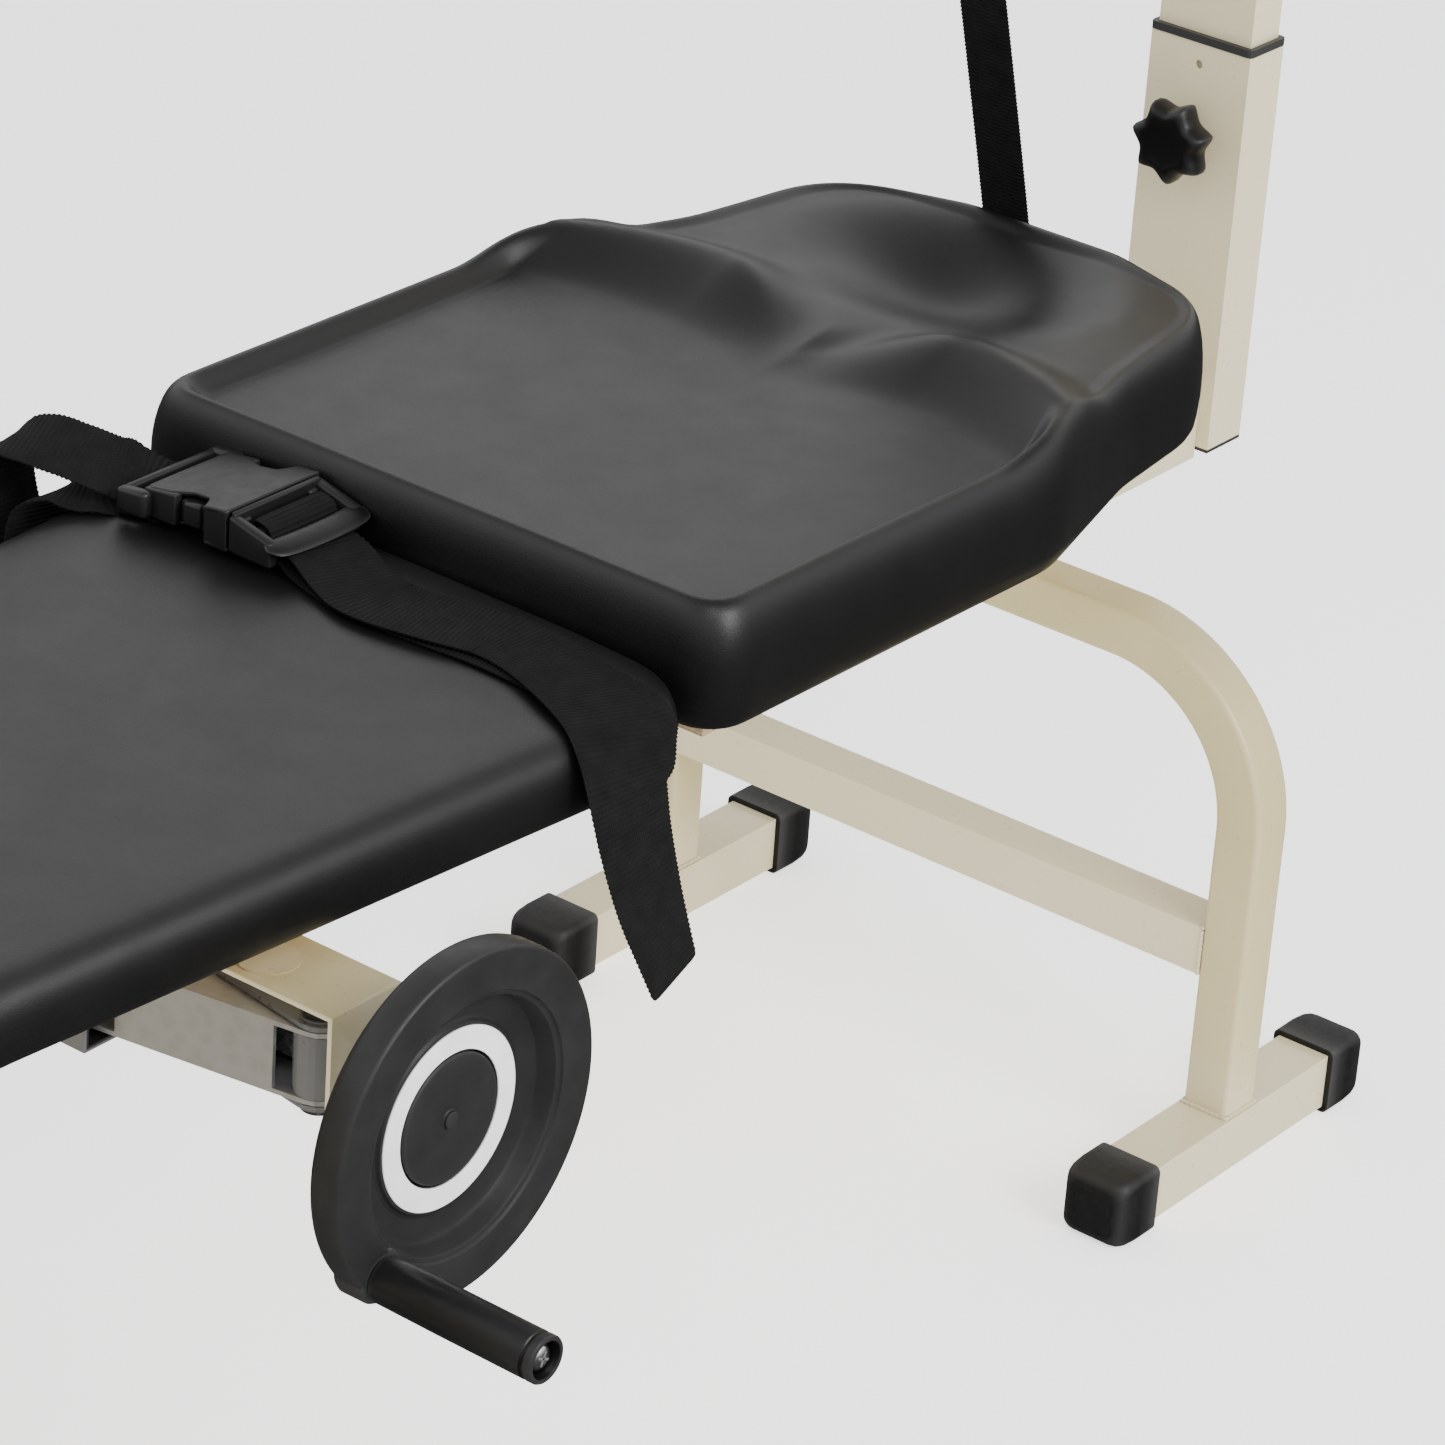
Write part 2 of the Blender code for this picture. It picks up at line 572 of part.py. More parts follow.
def crank_bracket():
    """A bent plate over the near trunnion, whose turned-down flange carries the handwheel's shaft."""
    foot_side = SCREW_X - 0.0235
    head_side = SCREW_X + 0.0325
    flange_side = head_side + 0.010
    top = BRACKET_BASE + BRACKET_PLATE
    inner = BRACKET_FACE + BRACKET_PLATE
    section = [(BRACKET_FACE, FLANGE_FOOT), (inner, FLANGE_FOOT), (inner, BRACKET_BASE),
               (BRACKET_BACK, BRACKET_BASE), (BRACKET_BACK, top), (BRACKET_FACE, top)]
    place = Matrix.Translation(((foot_side + flange_side) / 2, 0.0, 0.0)) @ ALONG_X
    bent = outline_mesh("bracket", [section], flange_side - foot_side, place)
    corner = [(head_side - 0.0007, top + 0.001), (flange_side + 0.002, top + 0.001),
              (flange_side + 0.002, top - 0.0168)]
    chamfer = outline_mesh("chamfer", [corner], 0.3, Matrix.Translation((0.0, -0.15, 0.0)) @ ALONG_Y)
    strip = box_mesh("strip", (head_side, inner + 0.0007, BRACKET_BASE - 0.01),
                     (flange_side + 0.01, -0.12, top + 0.01))
    bore = rod_mesh("bore", (SCREW_X, -0.25, SCREW_Z), (SCREW_X, -0.20, SCREW_Z), 0.0083)
    made = combine(bent, [chamfer, strip, bore], "DIFFERENCE")
    boss = rod_mesh("boss", (SCREW_X, -0.156, top - 0.0015), (SCREW_X, -0.156, top + 0.0012), 0.018)
    piece("crank_bracket", combine(made, [boss], "UNION"), CREAM)


def jack():
    jack_base()
    near = (SCREW_X, NEAR_TRUNNION_Y)
    far = (SCREW_X, FAR_TRUNNION_Y)
    jack_arm("jack_arm_head_near", (BASE_PIN_X, NEAR_PIN_Y), near, OUTER_ARM_HEIGHT, 1, PIN_HOLE, BLACK_STEEL)
    jack_arm("jack_arm_head_far", (BASE_PIN_X, FAR_PIN_Y), far, OUTER_ARM_HEIGHT, -1, PIN_HOLE, BLACK_STEEL)
    jack_arm("jack_arm_foot_near", near, (SADDLE_PIN_X, NEAR_PIN_Y), INNER_ARM_HEIGHT, 1, OPEN_PIN_HOLE, ZINC)
    jack_arm("jack_arm_foot_far", far, (SADDLE_PIN_X, FAR_PIN_Y), INNER_ARM_HEIGHT, -1, OPEN_PIN_HOLE, ZINC)
    trunnion("trunnion_near", NEAR_TRUNNION_Y, True)
    trunnion("trunnion_far", FAR_TRUNNION_Y, False)
    crank_bracket()


# ---- handwheel ----
def facing_near(x, y, z):
    """Places a turned piece whose Z axis should point to the near side, along -Y."""
    return Matrix.Translation((x, y, z)) @ ALONG_Y


def handwheel():
    """Heights in the profiles run from the rim's front plane: minus is towards the bed."""
    shaft = [(0.0, -0.0200), (0.0070, -0.0200), (0.0070, -0.0420), (0.0110, -0.0420), (0.0110, -0.0760),
             (0.0080, -0.0760), (0.0080, -0.0820), (0.0070, -0.0820),
             (0.0070, WHEEL_FACE - FAR_TRUNNION_Y - 0.030), (0.0, WHEEL_FACE - FAR_TRUNNION_Y - 0.030)]
    piece("lead_screw", turned_mesh("lead_screw", shaft, facing_near(SCREW_X, WHEEL_FACE, SCREW_Z), 20), STEEL,
          (SCREW_X, WHEEL_FACE, SCREW_Z))
    edge = WHEEL_RADIUS
    rim = [(edge - 0.0250, -0.0020), (edge - 0.0220, 0.0), (edge - 0.0050, 0.0), (edge - 0.0010, -0.0030),
           (edge, -0.0080), (edge, -0.0170), (edge - 0.0030, -0.0220), (0.0780, -0.0220), (0.0740, -0.0190),
           (0.0300, -0.0220), (0.0220, -0.0240), (0.0200, -0.0400), (0.0074, -0.0400), (0.0074, -0.0194),
           (CAP_RADIUS + GAP, -0.0194), (CAP_RADIUS + GAP, -0.0140), (RING_RADIUS, -0.0140),
           (RING_RADIUS + 0.0020, -0.0160), (0.0690, -0.0155), (0.0750, -0.0070)]
    wheel = turned_mesh("handwheel", rim, facing_near(SCREW_X, WHEEL_FACE, SCREW_Z), 40)
    lobe = rod_mesh("lobe", (GRIP_X, WHEEL_FACE + 0.0205, GRIP_Z),
                    (GRIP_X, WHEEL_FACE + 0.0004, GRIP_Z), 0.0165)
    hole = rod_mesh("hole", (GRIP_X, WHEEL_FACE + 0.04, GRIP_Z),
                    (GRIP_X, WHEEL_FACE - 0.04, GRIP_Z), 0.0043)
    wheel = combine(combine(wheel, [lobe], "UNION"), [hole], "DIFFERENCE")
    piece("handwheel", wheel, PLASTIC, (SCREW_X, WHEEL_FACE, SCREW_Z))
    cap = [(0.0, -0.0115), (0.0050, -0.0115), (0.0050, -0.0125), (CAP_RADIUS - 0.0017, -0.0125),
           (CAP_RADIUS, -0.0140), (CAP_RADIUS, -0.0190), (0.0, -0.0190)]
    piece("wheel_cap", turned_mesh("wheel_cap", cap, facing_near(SCREW_X, WHEEL_FACE, SCREW_Z), 32), PLASTIC,
          (SCREW_X, WHEEL_FACE, SCREW_Z))
    reach = GRIP_LENGTH + 0.001
    bolt = [(0.0, reach - 0.0040), (0.0065, reach - 0.0060), (0.0065, reach - 0.0100), (0.0040, reach - 0.0100),
            (0.0040, -0.0210), (0.0, -0.0210)]
    piece("grip_bolt", turned_mesh("grip_bolt", bolt, facing_near(GRIP_X, WHEEL_FACE, GRIP_Z), 16), STEEL,
          (GRIP_X, WHEEL_FACE, GRIP_Z))
    grip = [(0.0105, reach), (GRIP_RADIUS - 0.001, reach), (GRIP_RADIUS, reach - 0.001),
            (GRIP_RADIUS, reach - 0.0060), (GRIP_RADIUS - 0.0008, reach - 0.0080),
            (GRIP_RADIUS, 0.0040), (GRIP_RADIUS - 0.002, 0.0010), (0.0043, 0.0010),
            (0.0043, reach - 0.0105), (0.0105, reach - 0.0105)]
    piece("handle_grip", turned_mesh("handle_grip", grip, facing_near(GRIP_X, WHEEL_FACE, GRIP_Z), 24), PLASTIC,
          (GRIP_X, WHEEL_FACE, GRIP_Z))


# ---- post, mast and arm ----
def post():
    middle_x = POST_FACE + POST_DEPTH / 2
    height = POST_TOP - POST_BASE
    place = Matrix.Translation((middle_x, 0.0, POST_BASE + height / 2))
    loops = [rectangle(POST_DEPTH, POST_WIDTH), rectangle(POST_DEPTH, POST_WIDTH, TUBE_WALL)]
    tube = outline_mesh("post_socket", loops, height, place)
    holes = []
    for level, radius, sides in ((KNOB_HEIGHT, 0.0055, 24), (LOCATION_HOLE_HEIGHT, 0.0030, 16)):
        holes.append(rod_mesh("hole", (POST_FACE - 0.01, 0.0, level), (POST_FACE + 0.01, 0.0, level),
                              radius, sides))
    piece("post_socket", combine(tube, holes, "DIFFERENCE"), CREAM)
    collar_base = POST_TOP + GAP
    collar_height = 0.0055
    place = Matrix.Translation((middle_x, 0.0, collar_base + collar_height / 2))
    loops = [rounded(rectangle(POST_DEPTH + 0.002, POST_WIDTH + 0.002), 0.003, 2),
             rectangle(MAST_DEPTH + 2 * GAP, MAST_WIDTH + 2 * GAP)]
    piece("post_collar", outline_mesh("collar", loops, collar_height, place), PLASTIC)
    half_depth = POST_DEPTH / 2
    half_width = POST_WIDTH / 2
    inside = TUBE_WALL + GAP
    lip = box_mesh("lip", (middle_x - half_depth, -half_width, POST_BASE - 0.0025),
                   (middle_x + half_depth, half_width, POST_BASE - GAP))
    plug = box_mesh("plug", (middle_x - half_depth + inside, -half_width + inside, POST_BASE - 0.001),
                    (middle_x + half_depth - inside, half_width - inside, POST_BASE + 0.012))
    piece("post_plug", combine(lip, [plug], "UNION"), PLASTIC)


def mast():
    middle_x = POST_FACE + POST_DEPTH / 2
    height = MAST_TOP - MAST_BASE
    place = Matrix.Translation((middle_x, 0.0, MAST_BASE + height / 2))
    loops = [rectangle(MAST_DEPTH, MAST_WIDTH), rectangle(MAST_DEPTH, MAST_WIDTH, TUBE_WALL)]
    piece("mast_tube", outline_mesh("mast_tube", loops, height, place), CREAM)
    face = middle_x - MAST_DEPTH / 2 - GAP
    level = ARM_BASE + ARM_HEIGHT / 2
    place = Matrix.Translation(((ARM_TIP + face) / 2, 0.0, level)) @ ALONG_X
    arm = outline_mesh("arm", [rectangle(ARM_WIDTH, ARM_HEIGHT)], face - ARM_TIP, place)
    bore = box_mesh("bore", (ARM_TIP + 0.003, -ARM_WIDTH / 2 + TUBE_WALL, ARM_BASE + TUBE_WALL),
                    (face + 0.01, ARM_WIDTH / 2 - TUBE_WALL, ARM_BASE + ARM_HEIGHT - TUBE_WALL))
    arm = combine(arm, [bore], "DIFFERENCE")
    ear_x, ear_y, axle_z = STRAP_TOP
    ears = [box_mesh("ear", (ear_x - 0.010, y - 0.0015, axle_z - 0.010), (ear_x + 0.010, y + 0.0015,
                     ARM_BASE + 0.0004)) for y in (ear_y - EAR_REACH, ear_y + EAR_REACH)]
    yoke = box_mesh("yoke", (ear_x - 0.010, -ARM_WIDTH / 2, ARM_BASE - 0.0016),
                    (ear_x + 0.010, ear_y + EAR_REACH + 0.0015, ARM_BASE + 0.0004))
    axle = rod_mesh("axle", (ear_x, ear_y - EAR_REACH - 0.001, axle_z),
                    (ear_x, ear_y + EAR_REACH + 0.001, axle_z), 0.0040, 16)
    piece("mast_arm", combine(arm, ears + [yoke, axle], "UNION"), CREAM)


def clamp_knob():
    """A seven-lobed star knob on its threaded stud."""
    count = KNOB_LOBES * 8
    plan = []
    for k in range(count):
        angle = 2 * math.pi * k / count
        radius = KNOB_RADIUS * (0.88 + 0.12 * math.cos(KNOB_LOBES * angle))
        plan.append((radius * math.cos(angle), radius * math.sin(angle)))
    face = POST_FACE - KNOB_STAND_OFF
    place = Matrix.Translation((face + KNOB_THICK / 2, 0.0, KNOB_HEIGHT)) @ ALONG_X
    head = outline_mesh("knob", [plan], KNOB_THICK, place)
    neck = rod_mesh("neck", (face + 0.018, 0.0, KNOB_HEIGHT), (face + 0.024, 0.0, KNOB_HEIGHT), 0.0130)
    stud = rod_mesh("stud", (face + 0.020, 0.0, KNOB_HEIGHT), (POST_FACE + 0.0028, 0.0, KNOB_HEIGHT), 0.0050)
    piece("clamp_knob", combine(head, [neck, stud], "UNION"), PLASTIC, (POST_FACE, 0.0, KNOB_HEIGHT))


# ---- strap and belt ----
def pull_strap():
    anchor_top = SPINE_TOP + 0.0045
    plate = box_mesh("plate", (STRAP_FOOT[0] - 0.026, -0.028, SPINE_TOP + GAP),
                     (STRAP_FOOT[0] + 0.026, 0.078, anchor_top))
    slot = box_mesh("slot", (STRAP_FOOT[0] - 0.0045, STRAP_FOOT[1] - 0.0203, SPINE_TOP - 0.01),
                    (STRAP_FOOT[0] + 0.0045, STRAP_FOOT[1] + 0.0203, SPINE_TOP + 0.02))
    piece("strap_anchor", combine(plate, [slot], "DIFFERENCE"), BLACK_STEEL)
    start = Vector(STRAP_FOOT)
    end = Vector(STRAP_TOP)
    along = (end - start).normalized()
    across = Vector((0.0, 1.0, 0.0))
    across = (across - along * across.dot(along)).normalized()
    facing = along.cross(across)
    turn = Matrix((across, facing, along)).transposed().to_4x4()
    length = (end - start).length - 0.006
    lift = Matrix.Translation((0.0, 0.0, length / 2))
    place = Matrix.Translation(start) @ turn @ lift
    flat = outline_mesh("strap", [rectangle(STRAP_WIDTH, STRAP_THICK)], length, place)
    piece("pull_strap", flat, WEBBING)


def ribbon(points):
    """The outline of a strap lying along (across, up) points, as thick as the belt."""
    upper = []
    lower = []
    for i, point in enumerate(points):
        before = Vector(points[max(i - 1, 0)])
        after = Vector(points[min(i + 1, len(points) - 1)])
        run = (after - before).normalized()
        normal = Vector((-run.y, run.x)) * BELT_THICK / 2
        upper.append(tuple(Vector(point) + normal))
        lower.append(tuple(Vector(point) - normal))
    return upper + list(reversed(lower))


def waist_belt():
    """A belt over the lower pad's head end: the far half and female buckle, the male buckle and near half."""
    top = LOWER_PAD_TOP + BELT_THICK / 2 + 2 * GAP
    place = Matrix.Translation((BELT_X, 0.0, 0.0)) @ ALONG_X
    edge = LOWER_HALF_HEAD + 0.004
    strap_level = LOWER_PAD_TOP + 0.008
    far = [(FEMALE_FAR + 0.001, strap_level), (0.200, top + 0.006), (0.232, top + 0.017), (0.252, top + 0.016),
           (0.2605, top + 0.002), (0.2605, top - 0.022), (0.246, 0.503)]
    piece("belt_far", outline_mesh("belt", [ribbon(far)], BELT_WIDTH, place), WEBBING)
    near = [(MALE_NEAR - 0.002, strap_level), (0.005, top), (-edge + 0.016, top), (-edge + 0.004, top - 0.004),
            (-edge, top - 0.017), (-edge, 0.503), (-edge - 0.004, 0.440), (-edge - 0.008, 0.384)]
    piece("belt_near", outline_mesh("belt", [ribbon(near)], BELT_WIDTH, place), WEBBING)
    buckle()


def buckle():
    """A side-release buckle: two prongs of the male half reach into the hollow female half."""
    low = LOWER_PAD_TOP + 2 * GAP
    high = low + BUCKLE_HEIGHT
    wall = BUCKLE_WALL
    foot_side = BUCKLE_X - BUCKLE_HALF
    head_side = BUCKLE_X + BUCKLE_HALF
    shell = box_mesh("shell", (foot_side, FEMALE_NEAR, low), (head_side, FEMALE_FAR, high))
    throat = box_mesh("throat", (foot_side + wall, FEMALE_NEAR - 0.01, low + wall),
                      (head_side - wall, FEMALE_FAR - THROAT_END, high - wall))
    window = FEMALE_NEAR + WINDOW_START
    windows = box_mesh("windows", (foot_side - 0.01, window, low + wall),
                       (head_side + 0.01, window + WINDOW_LENGTH, high - wall))
    female = piece("buckle_female", combine(shell, [throat, windows], "DIFFERENCE"), PLASTIC)
    soften(female, 0.0012)
    male_far = FEMALE_NEAR - 2 * GAP
    body = box_mesh("body", (foot_side, MALE_NEAR, low), (head_side, male_far, high - 0.002))
    prongs = []
    for way in (-1, 1):
        middle = BUCKLE_X + way * BUCKLE_HALF * PRONG_PLACE
        prongs.append(box_mesh("prong", (middle - 0.005, male_far - 0.002, low + 0.0045),
                               (middle + 0.005, male_far + PRONG_LENGTH, high - 0.0045)))
    male = piece("buckle_male", combine(body, prongs, "UNION"), PLASTIC)
    soften(male, 0.0012)


end_frame("head", 0.0)
end_frame("foot", -ARCH_SPACING)
chassis()
upper_pad()
carriage()
jack()
handwheel()
post()
mast()
clamp_knob()
pull_strap()
waist_belt()
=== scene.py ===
"""The traction bed's finished look: upholstery, webbing, buckle, handwheel and paint round the CAD frame.

Pieces are made in bed coordinates, in metres: X runs from the foot to the head, Y to the far side and
Z up.  X = 0 is the middle of the head arch and Y = 0 the middle of the bed.  BED is where that point
stands in the frame's own coordinates.
"""
import math

import bmesh
import bpy
from mathutils import Matrix, Vector, noise


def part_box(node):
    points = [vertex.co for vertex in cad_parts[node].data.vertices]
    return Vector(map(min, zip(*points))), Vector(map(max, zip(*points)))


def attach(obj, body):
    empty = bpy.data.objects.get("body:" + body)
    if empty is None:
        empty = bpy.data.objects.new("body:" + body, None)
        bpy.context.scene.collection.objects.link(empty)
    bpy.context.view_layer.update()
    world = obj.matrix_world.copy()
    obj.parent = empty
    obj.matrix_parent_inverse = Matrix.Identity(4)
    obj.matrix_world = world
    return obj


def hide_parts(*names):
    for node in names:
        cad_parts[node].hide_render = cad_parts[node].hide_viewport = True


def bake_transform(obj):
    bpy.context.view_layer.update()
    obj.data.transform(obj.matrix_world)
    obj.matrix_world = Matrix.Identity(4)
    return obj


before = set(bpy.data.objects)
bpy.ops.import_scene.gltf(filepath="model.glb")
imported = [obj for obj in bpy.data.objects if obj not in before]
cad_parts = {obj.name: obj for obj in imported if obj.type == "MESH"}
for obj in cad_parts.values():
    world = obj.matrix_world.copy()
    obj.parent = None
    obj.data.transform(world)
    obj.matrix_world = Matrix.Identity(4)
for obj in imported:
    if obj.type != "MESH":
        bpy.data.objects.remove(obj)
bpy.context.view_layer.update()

# ---- places, from the frame ----
POST_FACE = 0.2175                  # the post's foot-side face, from the head arch
BED = Vector((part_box("post_socket")[0].x - POST_FACE,
              (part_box("rail_near")[0].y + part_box("rail_far")[1].y) / 2, 0.0))


def cad_box(node):
    """A CAD node's lowest and highest corners, in bed coordinates."""
    low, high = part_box(node)
    return low - BED, high - BED


def cad_middle(node):
    """The middle of a CAD node, in bed coordinates."""
    low, high = cad_box(node)
    return (low + high) / 2


UPPER_LOW, UPPER_HIGH = cad_box("upper_pad")
LOWER_LOW, LOWER_HIGH = cad_box("lower_pad")

# ---- camera ----
CAMERA_PLACE = Vector((-2.9148, -1.9741, 2.0247))
CAMERA_YAW = math.radians(36.682)
CAMERA_DROP = math.radians(27.038)
CAMERA_ROLL = math.radians(4.086)
CAMERA_LENS = 144.77

# ---- light ----
SKY_LOW = 0.08
SKY_BAND = 1.6
SKY_ZENITH = 0.55
FLOOR_GLOW = 1.2

# ---- upper pad ----
PAD_POINTS = 280                    # points round the edge of a pad
CORNER_STEPS = 12                   # and in each of its rounded corners
RIM_HEIGHT = 0.590                  # the raised rim round the sunken back panel
PANEL_HEIGHT = 0.5795
CREST_INSET = 0.017
CREASE_INSET = 0.031                # where the rim's slope meets the panel
STOP_HEIGHT = 0.6045                # top of the two shoulder stops
STOP_X = -0.168                     # their ridges
STOP_FOOT_X = -0.285                # where their foot-side faces start from the panel
FACE_TOP = 0.994                    # the foot-side face's profile, at the ridge
HEAD_HEIGHT = 0.5895                # the head rest's rim
DISH_CENTRE = (-0.048, 0.006)
DISH_REACH = (0.106, 0.132)
DISH_DEPTH = 0.029
FAR_OVERHANG = 0.021                # how much further the pad reaches on its far side

# ---- lower pad ----
FOOT_HALF = 0.136                   # half its width at the foot end and at the head end
HEAD_HALF = 0.218
HEAD_STAND = 0.003                  # how far its skin stands out towards the upper pad
HEAD_ROLL = 0.20                    # how much tighter its edge is rolled there

# ---- webbing ----
RIB_PITCH = 0.0031
RIB_DEPTH = 0.00032
RIB_STEPS = 7                       # rows of the mesh in each rib
WEB_THICK = 0.0020
BELT_X = -0.6075
BELT_WIDTH = 0.057
STRAP_WIDTH = 0.038
PAD_TOP = LOWER_HIGH.z
FLAT = Vector((1.0, 0.0, 0.0))      # the crosswise direction of a belt that lies level

# ---- handwheel ----
WHEEL_RADIUS = 0.104
RING_RADIUS = 0.0545
CAP_RADIUS = 0.0385
WHEEL_FACE = cad_box("handwheel")[0].y - 0.0004
WHEEL_AXIS = cad_middle("lead_screw")
GRIP_AXIS = cad_middle("handle_grip")
GRIP_LOW, GRIP_HIGH = cad_box("handle_grip")


# ---- end frames ----
ARCH_BEND = 0.112                   # radius of an arch's two bends, along the tube's middle
TUBE_CORNER = 0.0042
CAP_HALF = 0.0245                   # half the outside width of a floor bar's cap
WELD_STEP = 0.0009
WELD_RIPPLE = 0.0030

# ---- side-release buckle ----
BUCKLE_X = -0.604
BUCKLE_HALF = 0.0405
BUCKLE_BASE = PAD_TOP + 0.0050
BUCKLE_TOP = BUCKLE_BASE + 0.0265
BUCKLE_END_SHARE = 0.62             # height at both ends, against that at the joint between its halves
FEMALE_NEAR = 0.0860
FEMALE_FAR = 0.1720
MALE_NEAR = 0.0480
LADDER_BAR = 0.0215                 # the bar that the strap turns round, from the male half's near end


# ---- mesh helpers ----
def smoothstep(low, high, value):
    share = min(max((value - low) / (high - low), 0.0), 1.0)
    return share * share * (3.0 - 2.0 * share)


def mix(a, b, share):
    return a + (b - a) * share


def arc(centre, radius, start, end, steps=5):
    """Points round centre from start to end, in degrees."""
    turns = [math.radians(mix(start, end, k / steps)) for k in range(steps + 1)]
    return [(centre[0] + radius * math.cos(turn), centre[1] + radius * math.sin(turn)) for turn in turns]


def piece(mesh, body, material, stands_for=()):
    """A new object from mesh, with its name, on a CAD body."""
    made = bpy.data.objects.new(mesh.name, mesh)
    bpy.context.scene.collection.objects.link(made)
    made.location = BED
    mesh.materials.append(material)
    if body is not None:
        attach(made, body)
    if stands_for:
        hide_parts(*stands_for)
    return made


def finished(name, bm, angle=40.0):
    """bm as a smooth-shaded mesh whose edges over angle stay sharp."""
    bmesh.ops.recalc_face_normals(bm, faces=bm.faces)
    mesh = bpy.data.meshes.new(name)
    bm.to_mesh(mesh)
    bm.free()
    mesh.shade_smooth()
    mesh.set_sharp_from_angle(angle=math.radians(angle))
    return mesh


def skin(bm, rows, loop=False):
    """Faces between closed rows of vertices; loop joins the last row to the first, else both are capped."""
    size = len(rows[0])
    for low, high in zip(rows, rows[1:] + rows[:1] if loop else rows[1:]):
        for k in range(size):
            after = (k + 1) % size
            bm.faces.new((low[k], low[after], high[after], high[k]))
    if not loop:
        bm.faces.new(rows[0])
        bm.faces.new(rows[-1])


def loft(name, rings, loop=False, angle=40.0):
    """A skin over closed rings of equal length; loop joins the last ring to the first."""
    bm = bmesh.new()
    skin(bm, [[bm.verts.new(point) for point in ring] for ring in rings], loop)
    bmesh.ops.remove_doubles(bm, verts=bm.verts, dist=1e-6)
    return finished(name, bm, angle)


def turned(name, profile, centre, steps=96, angle=30.0, along_bed=False):
    """A closed profile of (radius, depth) turned through centre, about Y or along the bed's X."""
    centre = Vector(centre)
    rings = []
    for k in range(steps):
        turn = 2 * math.pi * k / steps
        a, b = math.cos(turn), math.sin(turn)
        rings.append([centre + Vector((d, r * a, r * b) if along_bed else (r * a, d, r * b))
                      for r, d in profile])
    return loft(name, rings, loop=True, angle=angle)


def soft_box(bm, low, high, radius, segments=3):
    """Adds a box with rounded edges to bm."""
    low, high = Vector(low), Vector(high)
    made = bmesh.ops.create_cube(bm, size=1.0)["verts"]
    size = high - low
    bmesh.ops.scale(bm, vec=size, verts=made)
    bmesh.ops.translate(bm, vec=(low + high) / 2, verts=made)
    edges = list({edge for vert in made for edge in vert.link_edges})
    bmesh.ops.bevel(bm, geom=edges, offset=radius, segments=segments, profile=0.5, affect="EDGES",
                    clamp_overlap=True)


def boxes(name, parts, angle=40.0):
    """One mesh of several rounded boxes, each (low, high, radius)."""
    bm = bmesh.new()
    for low, high, radius in parts:
        soft_box(bm, low, high, radius)
    return finished(name, bm, angle)


def resampled(points, count, closed=True, carried=None):
    """count points evenly along a polyline, or what its points carry at those places."""
    line = [Vector(p) for p in points]
    if closed:
        line.append(line[0])
    values = carried or line
    lengths = [0.0]
    for a, b in zip(line, line[1:]):
        lengths.append(lengths[-1] + (b - a).length)
    share = lengths[-1] / (count if closed else count - 1)
    found, at = [], 0
    for k in range(count):
        want = min(share * k, lengths[-1] - 1e-9)
        while lengths[at + 1] < want:
            at += 1
        t = (want - lengths[at]) / max(lengths[at + 1] - lengths[at], 1e-12)
        found.append(values[at].lerp(values[at + 1], t))
    return found


def rounded_line(corners):
    """A line through corners (x, y, radius), with every corner but its two ends rounded."""
    line = [Vector(corners[0][:2])]
    for last, (x, y, radius), following in zip(corners, corners[1:], corners[2:]):
        here = Vector((x, y))
        before = Vector(last[:2]) - here
        after = Vector(following[:2]) - here
        half_angle = before.angle(after) / 2
        reach = min(radius / math.tan(half_angle), 0.49 * before.length, 0.49 * after.length)
        start = here + before.normalized() * reach
        end = here + after.normalized() * reach
        for step in range(CORNER_STEPS + 1):
            t = step / CORNER_STEPS
            line.append((1 - t) ** 2 * start + 2 * t * (1 - t) * here + t * t * end)
    line.append(Vector(corners[-1][:2]))
    return line


def two_sided_plan(near, far, count):
    """A closed outline from its two halves, each a line of corners from the foot end to the head end."""
    near_line = resampled(rounded_line(near), count // 2 + 1, closed=False)
    far_line = resampled(rounded_line(far), count // 2 + 1, closed=False)
    return near_line + list(reversed(far_line))[1:-1]


def spine_of(plan, foot, head, foot_end, head_end):
    """For each point of a plan, the point on the pad's middle line that its row of the skin runs to."""
    size = len(plan)
    found = []
    for k, point in enumerate(plan):
        middle = (point.x + plan[-k % size].x) / 2
        found.append(Vector((mix(foot, head, smoothstep(foot_end, head_end, middle)), 0.0)))
    return found


def smooth_path(points, per_span=16):
    """A Catmull-Rom curve through points."""
    line = [Vector(p) for p in points]
    ends = [line[0] * 2 - line[1]] + line + [line[-1] * 2 - line[-2]]
    path = []
    for a, b, c, d in zip(ends, ends[1:], ends[2:], ends[3:]):
        for step in range(per_span):
            t = step / per_span
            path.append(0.5 * (2 * b + (c - a) * t + (2 * a - 5 * b + 4 * c - d) * t * t
                               + (3 * b - a - 3 * c + d) * t ** 3))
    path.append(line[-1])
    return path


# ---- materials ----
def new_material(name):
    """A material and its node tree."""
    made = bpy.data.materials.new(name)
    made.use_nodes = True
    return made, made.node_tree


def surface(material, looks, heights=()):
    """material with its shader's inputs set, or wired from a node, and bumps (height, strength, distance)."""
    tree = material.node_tree
    shader = tree.nodes["Principled BSDF"]
    for name, value in looks.items():
        if isinstance(value, bpy.types.NodeSocket):
            tree.links.new(value, shader.inputs[name])
        else:
            shader.inputs[name].default_value = value
    normal = None
    for height, strength, distance in heights:
        made = node(tree, "ShaderNodeBump", Strength=strength, Distance=distance)
        tree.links.new(height, made.inputs["Height"])
        if normal is not None:
            tree.links.new(normal, made.inputs["Normal"])
        normal = made.outputs["Normal"]
    if normal is not None:
        tree.links.new(normal, shader.inputs["Normal"])
    return material


def node(tree, kind, **values):
    """A node with its inputs or its settings given by name."""
    made = tree.nodes.new(kind)
    for key, value in values.items():
        if key in made.inputs:
            made.inputs[key].default_value = value
        else:
            setattr(made, key, value)
    return made


